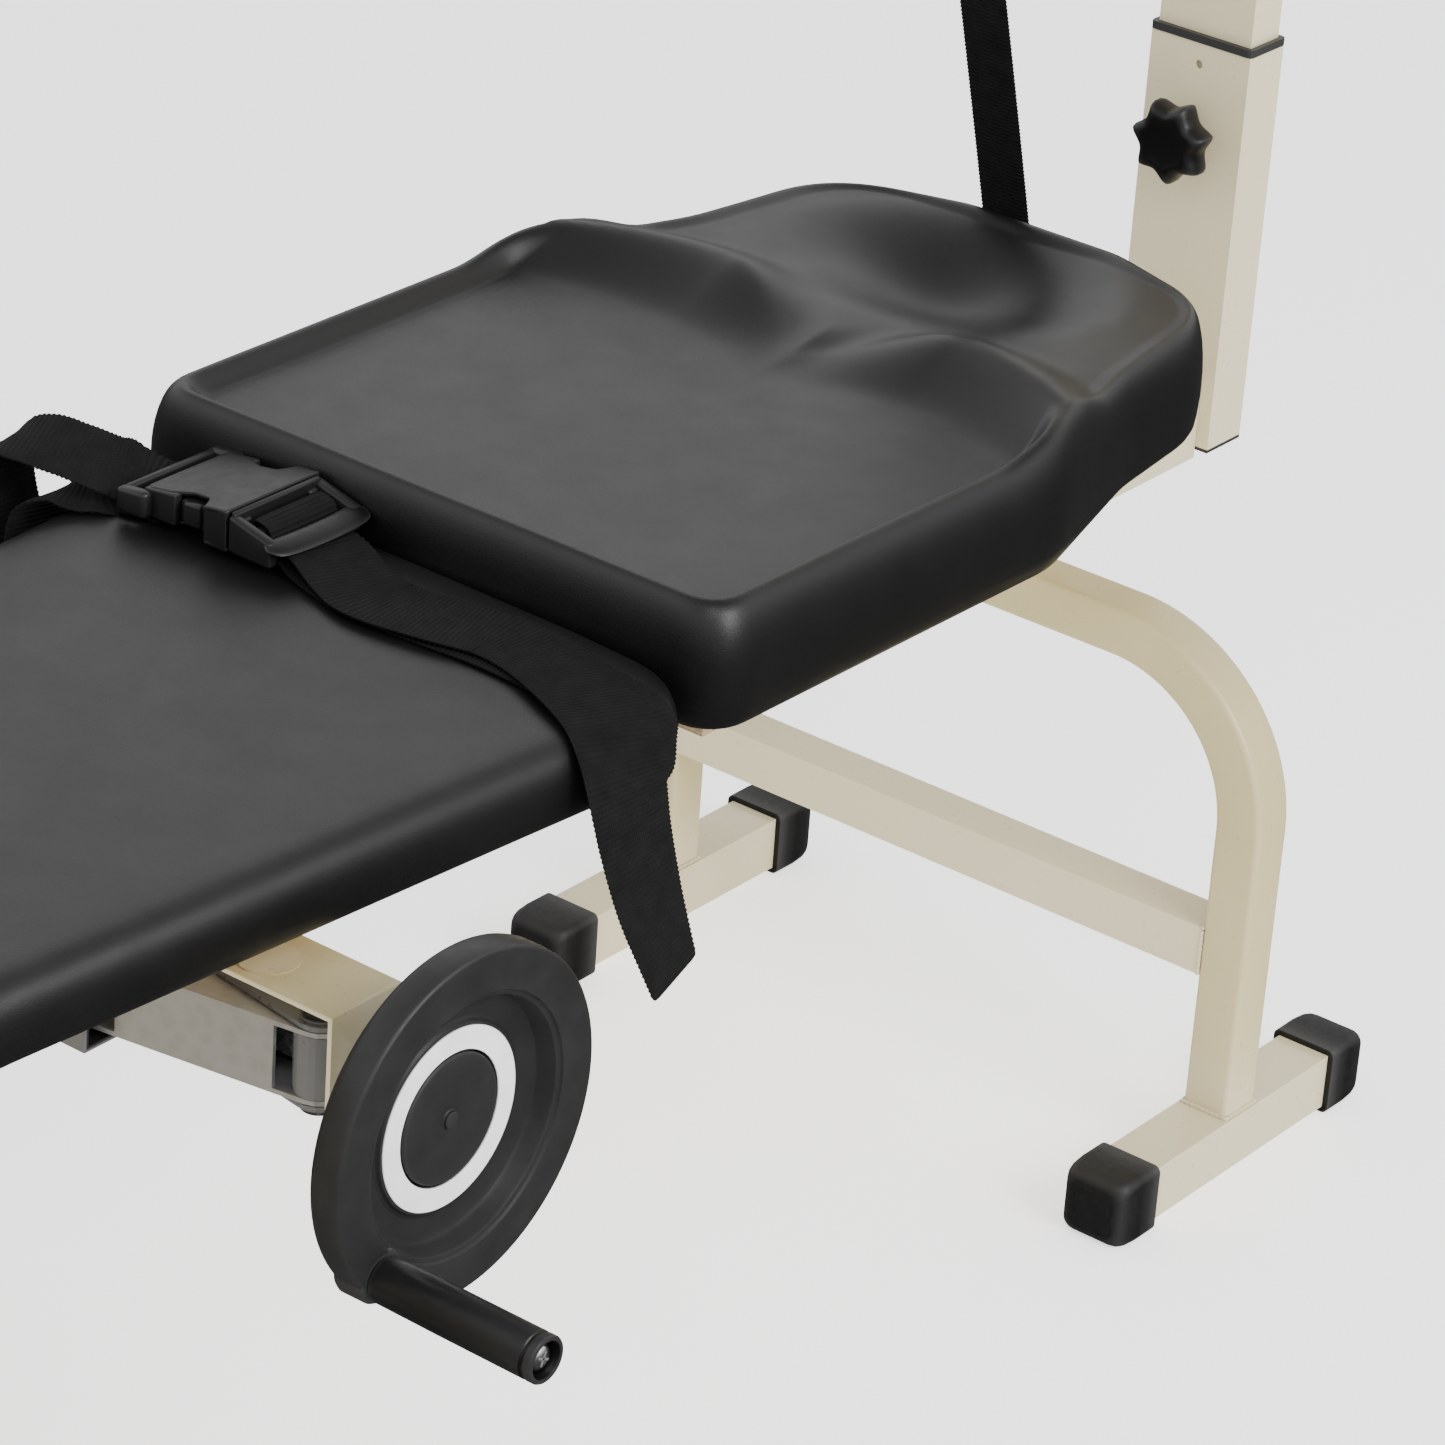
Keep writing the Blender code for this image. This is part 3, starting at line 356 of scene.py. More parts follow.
def object_place(tree, scale=(1.0, 1.0, 1.0), source="Object"):
    coordinates = node(tree, "ShaderNodeTexCoord")
    mapping = node(tree, "ShaderNodeMapping", Scale=scale)
    tree.links.new(coordinates.outputs[source], mapping.inputs["Vector"])
    return mapping.outputs["Vector"]


def noise_of(tree, vector, scale, detail=3.0, rough=0.5):
    made = node(tree, "ShaderNodeTexNoise", Scale=scale, Detail=detail, Roughness=rough)
    tree.links.new(vector, made.inputs["Vector"])
    return made.outputs["Fac"]


def ramp(tree, value, low, high, at=(0.3, 0.7)):
    """A two-colour ramp driven by value."""
    made = node(tree, "ShaderNodeValToRGB")
    for stop, position, colour in zip(made.color_ramp.elements, at, (low, high)):
        stop.position = position
        stop.color = (*colour, 1.0)
    tree.links.new(value, made.inputs["Fac"])
    return made.outputs["Color"]


def map_range(tree, value, start, end, low=0.0, high=1.0, curve="LINEAR"):
    """value brought from start..end to low..high."""
    made = node(tree, "ShaderNodeMapRange", interpolation_type=curve,
                **{"From Min": start, "From Max": end, "To Min": low, "To Max": high})
    tree.links.new(value, made.inputs["Value"])
    return made.outputs["Result"]


def spread(tree, value, low, high):
    """A noise's usual range brought to low..high."""
    return map_range(tree, value, 0.3, 0.7, low, high)


def mixed(tree, factor, a, b, blend_type="MIX"):
    """Two colours mixed by factor; each may be a plain value or a node's socket."""
    made = node(tree, "ShaderNodeMix", data_type="RGBA", blend_type=blend_type)
    for name, value in (("Factor", factor), ("A", a), ("B", b)):
        if isinstance(value, bpy.types.NodeSocket):
            tree.links.new(value, made.inputs[name])
        else:
            made.inputs[name].default_value = value
    return made.outputs["Result"]


def edge_wear(tree, colour, worn):
    """Mixes a worn colour in along outward edges."""
    geometry = node(tree, "ShaderNodeNewGeometry")
    return mixed(tree, map_range(tree, geometry.outputs["Pointiness"], 0.52, 0.58), colour, (*worn, 1.0))


def powder_coat():
    """Cream powder coat with a fine orange-peel skin."""
    made, tree = new_material("cream_powder_coat")
    place = object_place(tree)
    colour = ramp(tree, noise_of(tree, place, 9.0, 4.0), (0.490, 0.418, 0.212), (0.535, 0.459, 0.246))
    return surface(made, {"Base Color": edge_wear(tree, colour, (0.64, 0.57, 0.38)),
                          "Roughness": spread(tree, noise_of(tree, place, 160.0), 0.27, 0.36),
                          "Specular IOR Level": 0.5},
                   [(noise_of(tree, place, 420.0, 2.0), 0.22, 0.0004),
                    (noise_of(tree, place, 55.0, 1.0), 0.05, 0.0010)])


def leatherette(name="black_leatherette", grain=900.0, shade=1.0, gloss=0.40, creases=0.06):
    """Black PU leather: pebbled grain, faint cloudy sheen and fine creases."""
    made, tree = new_material(name)
    place = object_place(tree)
    pebble = node(tree, "ShaderNodeTexVoronoi", Scale=grain, feature="DISTANCE_TO_EDGE")
    warp = node(tree, "ShaderNodeVectorMath", operation="MULTIPLY_ADD")
    warp.inputs[1].default_value = (0.0006, 0.0006, 0.0006)
    cloud = node(tree, "ShaderNodeTexNoise", Scale=grain * 0.5)
    tree.links.new(place, cloud.inputs["Vector"])
    tree.links.new(cloud.outputs["Color"], warp.inputs[0])
    tree.links.new(place, warp.inputs[2])
    tree.links.new(warp.outputs["Vector"], pebble.inputs["Vector"])
    low = tuple(c * shade for c in (0.0042, 0.0042, 0.0043))
    high = tuple(c * shade for c in (0.0056, 0.0055, 0.0055))
    sheen = noise_of(tree, place, 30.0, 5.0)
    folds = noise_of(tree, object_place(tree, (1.0, 0.22, 1.0)), 70.0, 6.0, 0.62)
    return surface(made, {"Base Color": ramp(tree, noise_of(tree, place, 14.0, 4.0), low, high),
                          "Roughness": spread(tree, sheen, gloss - 0.015, gloss + 0.03),
                          "Specular IOR Level": 0.36},
                   [(folds, creases, 0.0016),
                    (map_range(tree, pebble.outputs["Distance"], 0.0, 0.28), 0.20, 0.00022)])


def webbing():
    """Black ribbed webbing: yarns across each rib, and a dull fibre sheen."""
    made, tree = new_material("black_webbing")
    place = object_place(tree, source="UV")
    yarn = node(tree, "ShaderNodeTexWave", Scale=190.0, Distortion=0.6, **{"Detail Scale": 2.0})
    yarn.bands_direction = "X"
    tree.links.new(place, yarn.inputs["Vector"])
    patch = noise_of(tree, place, 70.0, 3.0)
    return surface(made, {"Base Color": ramp(tree, patch, (0.0042, 0.0042, 0.0043), (0.0068, 0.0068, 0.0069)),
                          "Roughness": 0.78, "Specular IOR Level": 0.12,
                          "Sheen Weight": 0.012, "Sheen Roughness": 0.45},
                   [(yarn.outputs["Fac"], 0.35, 0.0003),
                    (noise_of(tree, place, 1500.0, 4.0, 0.7), 0.30, 0.0002)])


def moulded_plastic(name, colour, gloss, grain=1400.0, worn=(0.030, 0.030, 0.030)):
    """Moulded black plastic with a fine spark-eroded texture and lighter edges."""
    made, tree = new_material(name)
    place = object_place(tree)
    low = tuple(c * 0.85 for c in colour)
    high = tuple(c * 1.15 for c in colour)
    base = ramp(tree, noise_of(tree, place, 40.0, 3.0), low, high)
    sheen = noise_of(tree, place, 120.0)
    return surface(made, {"Base Color": edge_wear(tree, base, worn),
                          "Roughness": spread(tree, sheen, gloss - 0.03, gloss + 0.05),
                          "Specular IOR Level": 0.27},
                   [(noise_of(tree, place, grain, 2.0), 0.12, 0.00025)])


def rubber():
    """Matt black rubber with dust in its skin."""
    made, tree = new_material("cap_rubber")
    place = object_place(tree)
    dusty = noise_of(tree, place, 240.0, 5.0, 0.65)
    base = ramp(tree, dusty, (0.0045, 0.0045, 0.0046), (0.0085, 0.0084, 0.0083))
    return surface(made, {"Base Color": edge_wear(tree, base, (0.045, 0.045, 0.045)),
                          "Roughness": spread(tree, dusty, 0.48, 0.62), "Specular IOR Level": 0.24},
                   [(dusty, 0.22, 0.0004), (noise_of(tree, place, 900.0), 0.12, 0.0002)])


def galvanised():
    """Zinc-plated sheet: spangle, rolling lines and dull patches."""
    made, tree = new_material("galvanised_steel")
    spangle = node(tree, "ShaderNodeTexVoronoi", Scale=120.0)
    tree.links.new(object_place(tree), spangle.inputs["Vector"])
    rolled = noise_of(tree, object_place(tree, (12.0, 0.6, 12.0)), 60.0, 5.0, 0.6)
    grey = ramp(tree, spangle.outputs["Distance"], (0.56, 0.56, 0.57), (0.63, 0.63, 0.64), (0.1, 0.7))
    dull = spread(tree, rolled, 0.32, 0.52)
    return surface(made, {"Base Color": grey, "Metallic": 0.85, "Roughness": dull}, [(rolled, 0.10, 0.0004)])


def bright_steel():
    """Zinc-plated fasteners and turned shafts."""
    made, tree = new_material("bright_steel")
    lines = noise_of(tree, object_place(tree, (1.0, 22.0, 1.0)), 90.0, 4.0)
    return surface(made, {"Base Color": ramp(tree, lines, (0.527,) * 3, (0.62,) * 3), "Metallic": 1.0,
                          "Roughness": spread(tree, noise_of(tree, object_place(tree), 200.0), 0.20, 0.32)},
                   [(lines, 0.08, 0.0002)])


def black_paint():
    """Satin black paint on the jack's outer arms."""
    made, tree = new_material("satin_black_paint")
    place = object_place(tree)
    base = ramp(tree, noise_of(tree, place, 25.0, 4.0), (0.012, 0.012, 0.0125), (0.020, 0.020, 0.0205))
    return surface(made, {"Base Color": edge_wear(tree, base, (0.12, 0.12, 0.12)),
                          "Roughness": spread(tree, noise_of(tree, place, 90.0), 0.26, 0.38)},
                   [(noise_of(tree, place, 380.0), 0.12, 0.0004)])


def plywood():
    """Birch ply: pale faces with long grain, darker glue lines in its edges."""
    made, tree = new_material("birch_plywood")
    grain = noise_of(tree, object_place(tree, (1.6, 26.0, 26.0)), 14.0, 7.0, 0.6)
    face = ramp(tree, grain, (0.36, 0.24, 0.13), (0.52, 0.38, 0.23))
    plies = node(tree, "ShaderNodeTexWave", Scale=110.0)
    plies.bands_direction = "Z"
    tree.links.new(object_place(tree), plies.inputs["Vector"])
    glue = ramp(tree, plies.outputs["Fac"], (0.45, 0.36, 0.28), (1.0, 1.0, 1.0))
    return surface(made, {"Base Color": mixed(tree, 0.35, face, glue, "MULTIPLY"),
                          "Roughness": spread(tree, grain, 0.55, 0.75)}, [(grain, 0.15, 0.0004)])


def ring_paint():
    """The handwheel's pale ring."""
    made, tree = new_material("ring_paint")
    place = object_place(tree)
    pale = ramp(tree, noise_of(tree, place, 60.0), (0.74, 0.74, 0.75), (0.82, 0.82, 0.82))
    return surface(made, {"Base Color": pale, "Roughness": 0.30},
                   [(noise_of(tree, place, 700.0), 0.05, 0.0002)])


CREAM = powder_coat()
LEATHER = leatherette()
SIDE_LEATHER = leatherette("moulded_leatherette", 1000.0, 0.95, 0.36, 0.035)
WEB = webbing()
PLASTIC = moulded_plastic("moulded_black_plastic", (0.0032, 0.0032, 0.0033), 0.38)
# The handwheel, its cap and its boss get a lighter base than the other black plastic. This is painted
# reflection of the pale floor, which is hidden from glossy rays.
WHEEL_PAINTED_REFLECTION = moulded_plastic("handwheel_plastic_painted_reflection", (0.0150, 0.0150, 0.0150), 0.44)
BUCKLE = moulded_plastic("buckle_nylon", (0.0028, 0.0028, 0.0029), 0.36, 1700.0, (0.018, 0.018, 0.018))
RUBBER = rubber()
ZINC = galvanised()
STEEL = bright_steel()
BLACK = black_paint()
PLY = plywood()
RING = ring_paint()


# ---- CAD nodes that stay: smooth shading, softened edges and their finish ----
def smooth_group():
    """A modifier that shades smooth across edges under 35 degrees."""
    group = bpy.data.node_groups.new("smooth_by_angle", "GeometryNodeTree")
    group.interface.new_socket("Geometry", in_out="INPUT", socket_type="NodeSocketGeometry")
    group.interface.new_socket("Geometry", in_out="OUTPUT", socket_type="NodeSocketGeometry")
    entry = group.nodes.new("NodeGroupInput")
    leave = group.nodes.new("NodeGroupOutput")
    faces = group.nodes.new("GeometryNodeSetShadeSmooth")
    edges = group.nodes.new("GeometryNodeSetShadeSmooth")
    edges.domain = "EDGE"
    angle = group.nodes.new("GeometryNodeInputMeshEdgeAngle")
    sharp = group.nodes.new("FunctionNodeCompare")
    sharp.operation = "GREATER_THAN"
    sharp.inputs["B"].default_value = math.radians(35.0)
    edges.inputs["Shade Smooth"].default_value = False
    group.links.new(entry.outputs[0], faces.inputs["Geometry"])
    group.links.new(faces.outputs["Geometry"], edges.inputs["Geometry"])
    group.links.new(angle.outputs["Unsigned Angle"], sharp.inputs["A"])
    group.links.new(sharp.outputs["Result"], edges.inputs["Selection"])
    group.links.new(edges.outputs["Geometry"], leave.inputs[0])
    return group


SMOOTH = smooth_group()


def dress(names, material, edge=0.0):
    """Gives CAD nodes their finish, and a rolled edge of the given radius."""
    for name in names:
        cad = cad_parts[name]
        cad.data.materials.clear()
        cad.data.materials.append(material)
        if edge:
            bevel = cad.modifiers.new("rolled_edge", "BEVEL")
            bevel.width = edge
            bevel.segments = 3
            bevel.limit_method = "ANGLE"
            bevel.angle_limit = math.radians(50.0)
        shade = cad.modifiers.new("smooth", "NODES")
        shade.node_group = SMOOTH


def dress_frame():
    bars = [f"floor_bar_{end}_{side}" for end in ("head", "foot") for side in ("near", "far")]
    dress(bars + ["head_crossbar", "foot_crossbar"], CREAM, 0.0028)
    dress(["spine_head", "foot_riser", "post_socket", "mast_tube"], CREAM, 0.0030)
    dress(["rail_near", "rail_far", "rail_tie_1", "rail_tie_2", "pad_support_1", "pad_support_2",
           "carriage_bar_head", "carriage_bar_foot", "mast_arm", "crank_bracket", "strap_anchor"],
          CREAM, 0.0012)
    dress(["jack_base", "jack_saddle", "trunnion_near", "trunnion_far"], BLACK, 0.0008)
    dress(["jack_arm_head_near", "jack_arm_head_far"], BLACK, 0.0006)
    dress(["jack_arm_foot_near", "jack_arm_foot_far"], ZINC, 0.0006)
    shoes = [f"slide_shoe_{end}_{side}" for end in ("head", "foot") for side in ("near", "far")]
    dress(shoes + ["post_collar", "post_plug"], PLASTIC, 0.0006)
    dress(["upper_pad_board", "lower_pad_board"], PLY)
    dress(["lead_screw", "grip_bolt"], STEEL, 0.0003)


# ---- end frames: arches, caps and welds ----
def arch(end, middle_x):
    """The bent square tube of one end frame, swept with round corners."""
    low, high = cad_box(end + "_arch")
    tube = high.x - low.x
    inner = high.y - tube / 2 - ARCH_BEND
    spring = high.z - tube / 2 - ARCH_BEND
    path = [Vector((middle_x, inner + ARCH_BEND, mix(low.z, spring, k / 4))) for k in range(4)]
    path += [Vector((middle_x, y, z)) for y, z in arc((inner, spring), ARCH_BEND, 0, 90, 28)]
    across = [Vector((p.x, -p.y, p.z)) for p in reversed(path)]
    straight = [path[-1].lerp(across[0], k / 6) for k in range(1, 6)]
    path += straight + across
    rings = []
    for k, here in enumerate(path):
        ahead = path[min(k + 1, len(path) - 1)] - path[max(k - 1, 0)]
        side = Vector((1.0, 0.0, 0.0))
        out = side.cross(ahead).normalized()
        rings.append([here + side * a + out * b for a, b in rounded_square(tube, TUBE_CORNER)])
    mesh = loft(end + "_arch_tube", rings)
    return piece(mesh, "frame", CREAM, [end + "_arch"])


def rounded_square(size, radius, steps=5):
    half = size / 2 - radius
    points = []
    for corner, centre in enumerate(((half, half), (-half, half), (-half, -half), (half, -half))):
        points += arc(centre, radius, 90 * corner, 90 * corner + 90, steps)
    return points


def weld_bead(name, corners, radius):
    """A rippled bead laid round corners."""
    laid = sum((Vector(b) - Vector(a)).length for a, b in zip(corners, corners[1:]))
    path = resampled(corners, max(24, int(laid / WELD_STEP)))
    rings = []
    for k, here in enumerate(path):
        along = (path[(k + 1) % len(path)] - path[k - 1]).normalized()
        side = along.cross(Vector((0.3, 0.2, 1.0))).normalized()
        up = side.cross(along)
        wide = radius * (1.0 + 0.13 * math.sin(k * WELD_STEP / WELD_RIPPLE * 2 * math.pi))
        rings.append([here + (side * math.cos(a) + up * math.sin(a)) * wide
                      for a in (2 * math.pi * j / 8 for j in range(8))])
    return piece(loft(name, rings, loop=True, angle=80.0), "frame", CREAM)


def rectangle(middle, half, upright):
    """Four corners of a square round middle, upright across Y or lying level."""
    corners = [(-half, -half), (half, -half), (half, half), (-half, half)]
    return [Vector(middle) + Vector((a, 0.0, b) if upright else (a, b, 0.0)) for a, b in corners]


def end_frames():
    for end in ("head", "foot"):
        low, high = cad_box(end + "_arch")
        middle_x = (low.x + high.x) / 2
        arch(end, middle_x)
        half = (high.x - low.x) / 2
        bar_low, bar_high = cad_box(end + "_crossbar")
        bar_z = (bar_low.z + bar_high.z) / 2
        for side, way in (("near", -1), ("far", 1)):
            leg_y = way * (high.y - half)
            foot = rectangle((middle_x, leg_y, low.z + 0.0006), half, False)
            weld_bead(f"weld_leg_{end}_{side}", foot, 0.0017)
            joint_y = bar_low.y if way < 0 else bar_high.y
            ring = rectangle((middle_x, joint_y, bar_z), half - 0.0005, True)
            weld_bead(f"weld_crossbar_{end}_{side}", ring, 0.0015)
            for tip in ("foot", "head"):
                floor_cap(f"floor_cap_{end}_{side}_{tip}")


def floor_cap(cad_name):
    """A moulded rubber cap: pillowed faces, round corners and a lip at the bar."""
    low, high = cad_box(cad_name)
    to_head = 1 if cad_name.endswith("_head") else -1
    middle = (low + high) / 2
    half = (high - low) / 2
    start = middle.x - to_head * half.x
    stations = [(0.0, -0.0042, 0.004), (0.0, -0.0010, 0.005), (0.0008, 0.0, 0.005), (0.25, 0.0002, 0.0055),
                (0.50, 0.0004, 0.006), (0.75, 0.0000, 0.007), (0.86, -0.0008, 0.008), (0.93, -0.0022, 0.009),
                (0.975, -0.0046, 0.010), (1.0, -0.0085, 0.010), (1.004, -0.0140, 0.010)]
    rings = []
    for share, grow, radius in stations:
        x = start + to_head * share * 2 * half.x
        rings.append([Vector((x, middle.y + a * (half.y + grow), max(middle.z + b * (half.z + grow), low.z)))
                      for a, b in rounded_square(2.0, radius / CAP_HALF, 6)])
    name = cad_name.replace("floor_cap", "rubber_cap")
    return piece(loft(name, rings, angle=50.0), "frame", RUBBER, [cad_name])


# ---- pads ----
def upper_plan(inset):
    """The upper pad's plan, drawn in from its edge by inset."""
    foot = UPPER_LOW.x - 0.003 + inset * 0.85
    head = UPPER_HIGH.x + 0.003 - inset * 0.9
    half = [(foot, 0.218 - inset, max(0.034 - inset * 0.65, 0.010)),
            (-0.235, 0.222 - inset, 0.10),
            (-0.105, 0.184 - inset * 0.8, 0.14),
            (0.020, 0.168 - inset * 0.9, 0.13),
            (head, 0.062 - inset * 0.2, 0.06)]
    near = [(x, -y, radius) for x, y, radius in half]
    far = [(x, y + FAR_OVERHANG * smoothstep(-0.10, -0.32, x), radius) for x, y, radius in half]
    return plan_between(foot, head, near, far)


def plan_between(foot, head, near, far):
    """A pad's outline from its two sides' corners and its two ends on the middle line."""
    sides = [[(foot, 0.0, 0.0)] + side + [(head, 0.0, 0.0)] for side in (near, far)]
    return two_sided_plan(*sides, PAD_POINTS)


def closed_in(rings, inner, spine, steps, height):
    """Adds the rows that close a pad's top from its inner outline to the line along its middle."""
    for k in range(1, steps + 1):
        row = [p.lerp(c, k / steps) for p, c in zip(inner, spine)]
        rings.append([Vector((p.x, p.y, height(p, k / steps))) for p in row])


def stop_ridge(across):
    """How far along the bed a shoulder stop's ridge lies, at a distance across."""
    if across > 0.10:
        return STOP_X - 3.2 * (across - 0.10) ** 2
    return STOP_X - 5.6 * (0.10 - across) ** 2


def pad_height(x, y):
    """The upper pad's top, away from its rim: a flat panel, two stops and the dished head rest."""
    across = abs(y)
    ridge = stop_ridge(across)
    panel = PANEL_HEIGHT - 0.0012 * (1 - (across / 0.2) ** 2)
    saddle = mix(panel, HEAD_HEIGHT - 0.0040, smoothstep(STOP_FOOT_X, -0.150, x))
    peak = mix(saddle, STOP_HEIGHT, smoothstep(0.010, 0.088, across))
    if x < ridge:
        along = (x - STOP_FOOT_X) / (ridge - STOP_FOOT_X)
        face = 0.12 * along + 0.88 * smoothstep(0.42, 1.03, along)
        return mix(panel, peak, face / FACE_TOP) if along > 0 else panel
    level = mix(peak, HEAD_HEIGHT - 0.0015, smoothstep(0.0, 0.050, x - ridge))
    ring = math.hypot((x - DISH_CENTRE[0]) / DISH_REACH[0], (y - DISH_CENTRE[1]) / DISH_REACH[1])
    return level - DISH_DEPTH * (1.0 - smoothstep(0.0, 1.0, ring)) * smoothstep(0.0, 0.030, x - ridge)


def rim_height(x):
    """Height of the rim's crest along the pad."""
    stop = smoothstep(STOP_FOOT_X, -0.205, x) * (1.0 - smoothstep(-0.190, -0.138, x))
    return RIM_HEIGHT + 0.0125 * stop


def upper_pad():
    """The moulded pad: a rim round a sunken panel, two shoulder stops and a dished head rest."""
    sides = [(0.012, UPPER_LOW.z), (0.005, UPPER_LOW.z + 0.0010), (0.0020, UPPER_LOW.z + 0.0055),
             (0.0004, UPPER_LOW.z + 0.013), (-0.0006, UPPER_LOW.z + 0.023)]
    rounded = RIM_HEIGHT - UPPER_LOW.z - 0.032
    for k in range(10):
        turn = math.radians(9.0 * k)
        sides.append((CREST_INSET * (1 - math.cos(turn)) - 0.0006,
                      UPPER_LOW.z + 0.032 + rounded * math.sin(turn)))
    rings = []
    for inset, z in sides:
        plan = upper_plan(inset)
        share = (z - UPPER_LOW.z) / (RIM_HEIGHT - UPPER_LOW.z)
        rings.append([Vector((p.x, p.y, z + (rim_height(p.x) - RIM_HEIGHT) * share ** 2)) for p in plan])
    rings[0:0] = [[Vector((p.x * s, p.y * s, UPPER_LOW.z)) for p in rings[0]] for s in (0.35, 0.75)]
    slope = CREASE_INSET - CREST_INSET
    shares = (0.0, 0.14, 0.28, 0.42, 0.56, 0.70, 0.82, 0.92, 1.0, 1.08)
    for inset in [CREST_INSET + slope * share for share in shares]:
        inner = upper_plan(inset)
        rings.append([rim_point(p, inset) for p in inner])
    spine = spine_of(inner, -0.36, -0.06, -0.50, 0.02)
    closed_in(rings, inner, spine, 62, lambda p, share: pad_height(p.x, p.y))
    mesh = loft("upper_pad_cushion", rings, angle=75.0)
    for vert in mesh.vertices:
        if vert.co.z > UPPER_LOW.z + 0.01:
            vert.co.z += 0.0005 * noise.noise(vert.co * 11.0)
    made = piece(mesh, "frame", SIDE_LEATHER, ["upper_pad"])


def rim_point(p, inset):
    """A point on the rim: from its crest down to the crease in the panel's edge."""
    crest = rim_height(p.x)
    inside = pad_height(p.x, p.y)
    share = min(max((inset - CREST_INSET) / (CREASE_INSET - CREST_INSET), 0.0), 1.0)
    falls = 1.0 - smoothstep(0.0, 1.0, share) ** 0.85
    return Vector((p.x, p.y, inside + (max(crest, inside) - inside) * falls))


def lower_plan(inset):
    """The lower pad's plan, drawn in from its edge by inset."""
    head = LOWER_HIGH.x + HEAD_STAND - inset * HEAD_ROLL
    foot = LOWER_LOW.x + inset
    near = [(foot, inset - FOOT_HALF, 0.030),
            (head - 0.008, inset - HEAD_HALF, max(0.046 - inset * 0.5, 0.018)),
            (head - 0.002, -0.115, 0.10)]
    return plan_between(foot, head, near, [(x, -y, radius) for x, y, radius in near])


def lower_pad():
    """The flat pad: bullnose edges pulled taut, fine creases along its edge."""
    base = LOWER_LOW.z
    top = LOWER_HIGH.z
    sides = [(0.060, base + 0.0004), (0.020, base), (0.012, base + 0.0003), (0.0070, base + 0.0018),
             (0.0032, base + 0.0050), (0.0010, base + 0.0095), (0.0, base + 0.0160),
             (0.0, base + 0.0240), (0.0008, base + 0.0310), (0.0026, base + 0.0372),
             (0.0056, base + 0.0425), (0.0096, base + 0.0462), (0.0142, base + 0.0484),
             (0.0190, base + 0.0494), (0.0245, base + 0.0498), (0.0320, top)]
    rings = []
    for inset, z in sides:
        inner = lower_plan(inset)
        rings.append([Vector((p.x, p.y, z)) for p in inner])
    rings[0:0] = [[Vector((mix(-1.1, p.x, s), p.y * s, base + 0.0004)) for p in rings[0]] for s in (0.4, 0.8)]
    spine = spine_of(inner, -1.56, -0.72, -1.60, -0.64)
    closed_in(rings, inner, spine, 34, lambda p, share: top + 0.0008 * smoothstep(0, 1, share))
    mesh = loft("lower_pad_cushion", rings, angle=75.0)
    for vert in mesh.vertices:
        if vert.co.z > base + 0.004:
            puckers = noise.noise(Vector((vert.co.x * 55.0, vert.co.y * 9.0, vert.co.z * 30.0)))
            at_edge = smoothstep(0.055, 0.0, abs(abs(vert.co.y) - edge_of_lower(vert.co.x)))
            vert.co.z += 0.00042 * puckers * at_edge
            vert.co.z += 0.0005 * noise.noise(vert.co * 7.0)
    made = piece(mesh, "carriage", LEATHER, ["lower_pad"])


def edge_of_lower(x):
    """Half the lower pad's width at x."""
    return mix(FOOT_HALF, HEAD_HALF, (x - LOWER_LOW.x) / (LOWER_HIGH.x - LOWER_LOW.x))


# ---- webbing ----
def ribbon(name, stations, width, thick=WEB_THICK, columns=12, frayed=False):
    """A ribbed strap through stations (centre, across): returns its mesh and its length."""
    centres = smooth_path([centre for centre, _ in stations])
    sideways = smooth_path([across for _, across in stations])
    length = sum((b - a).length for a, b in zip(centres, centres[1:]))
    count = int(length / RIB_PITCH * RIB_STEPS)
    path = resampled(centres, count, closed=False)
    across = resampled(centres, count, closed=False, carried=sideways)
    section = [(j, 1) for j in range(columns + 1)] + [(j, -1) for j in range(columns, -1, -1)]
    bm = bmesh.new()
    layer = bm.loops.layers.uv.new("strap")
    rows, place = [], {}
    for k, here in enumerate(path):
        ahead = path[min(k + 1, count - 1)] - path[max(k - 1, 0)]
        side = (across[k] - ahead * (across[k].dot(ahead) / ahead.length_squared)).normalized()
        up = side.cross(ahead).normalized()
        along = length * k / (count - 1)
        rib = RIB_DEPTH * math.cos(2 * math.pi * along / RIB_PITCH)
        half = width / 2 + 0.25 * rib
        if frayed and k > count - 6:
            half -= 0.0004 * (k - count + 6)
        row = []
        for j, way in section:
            out = mix(-half, half, j / columns)
            selvedge = 0.45 if j in (0, columns) else 1.0
            vert = bm.verts.new(here + side * out + up * way * (thick / 2 * selvedge + rib))
            place[vert] = (out, along)
            row.append(vert)
        rows.append(row)
    skin(bm, rows)
    for face in bm.faces:
        for corner in face.loops:
            corner[layer].uv = place[corner.vert]
    return finished(name, bm, 70.0), length


def belt_route(rows):
    """Stations of the waist belt from (x from the belt's middle, y, z) and, where it tilts, its direction."""
    return [((BELT_X + x, y, z), Vector(tilt[0]) if tilt else FLAT) for x, y, z, *tilt in rows]


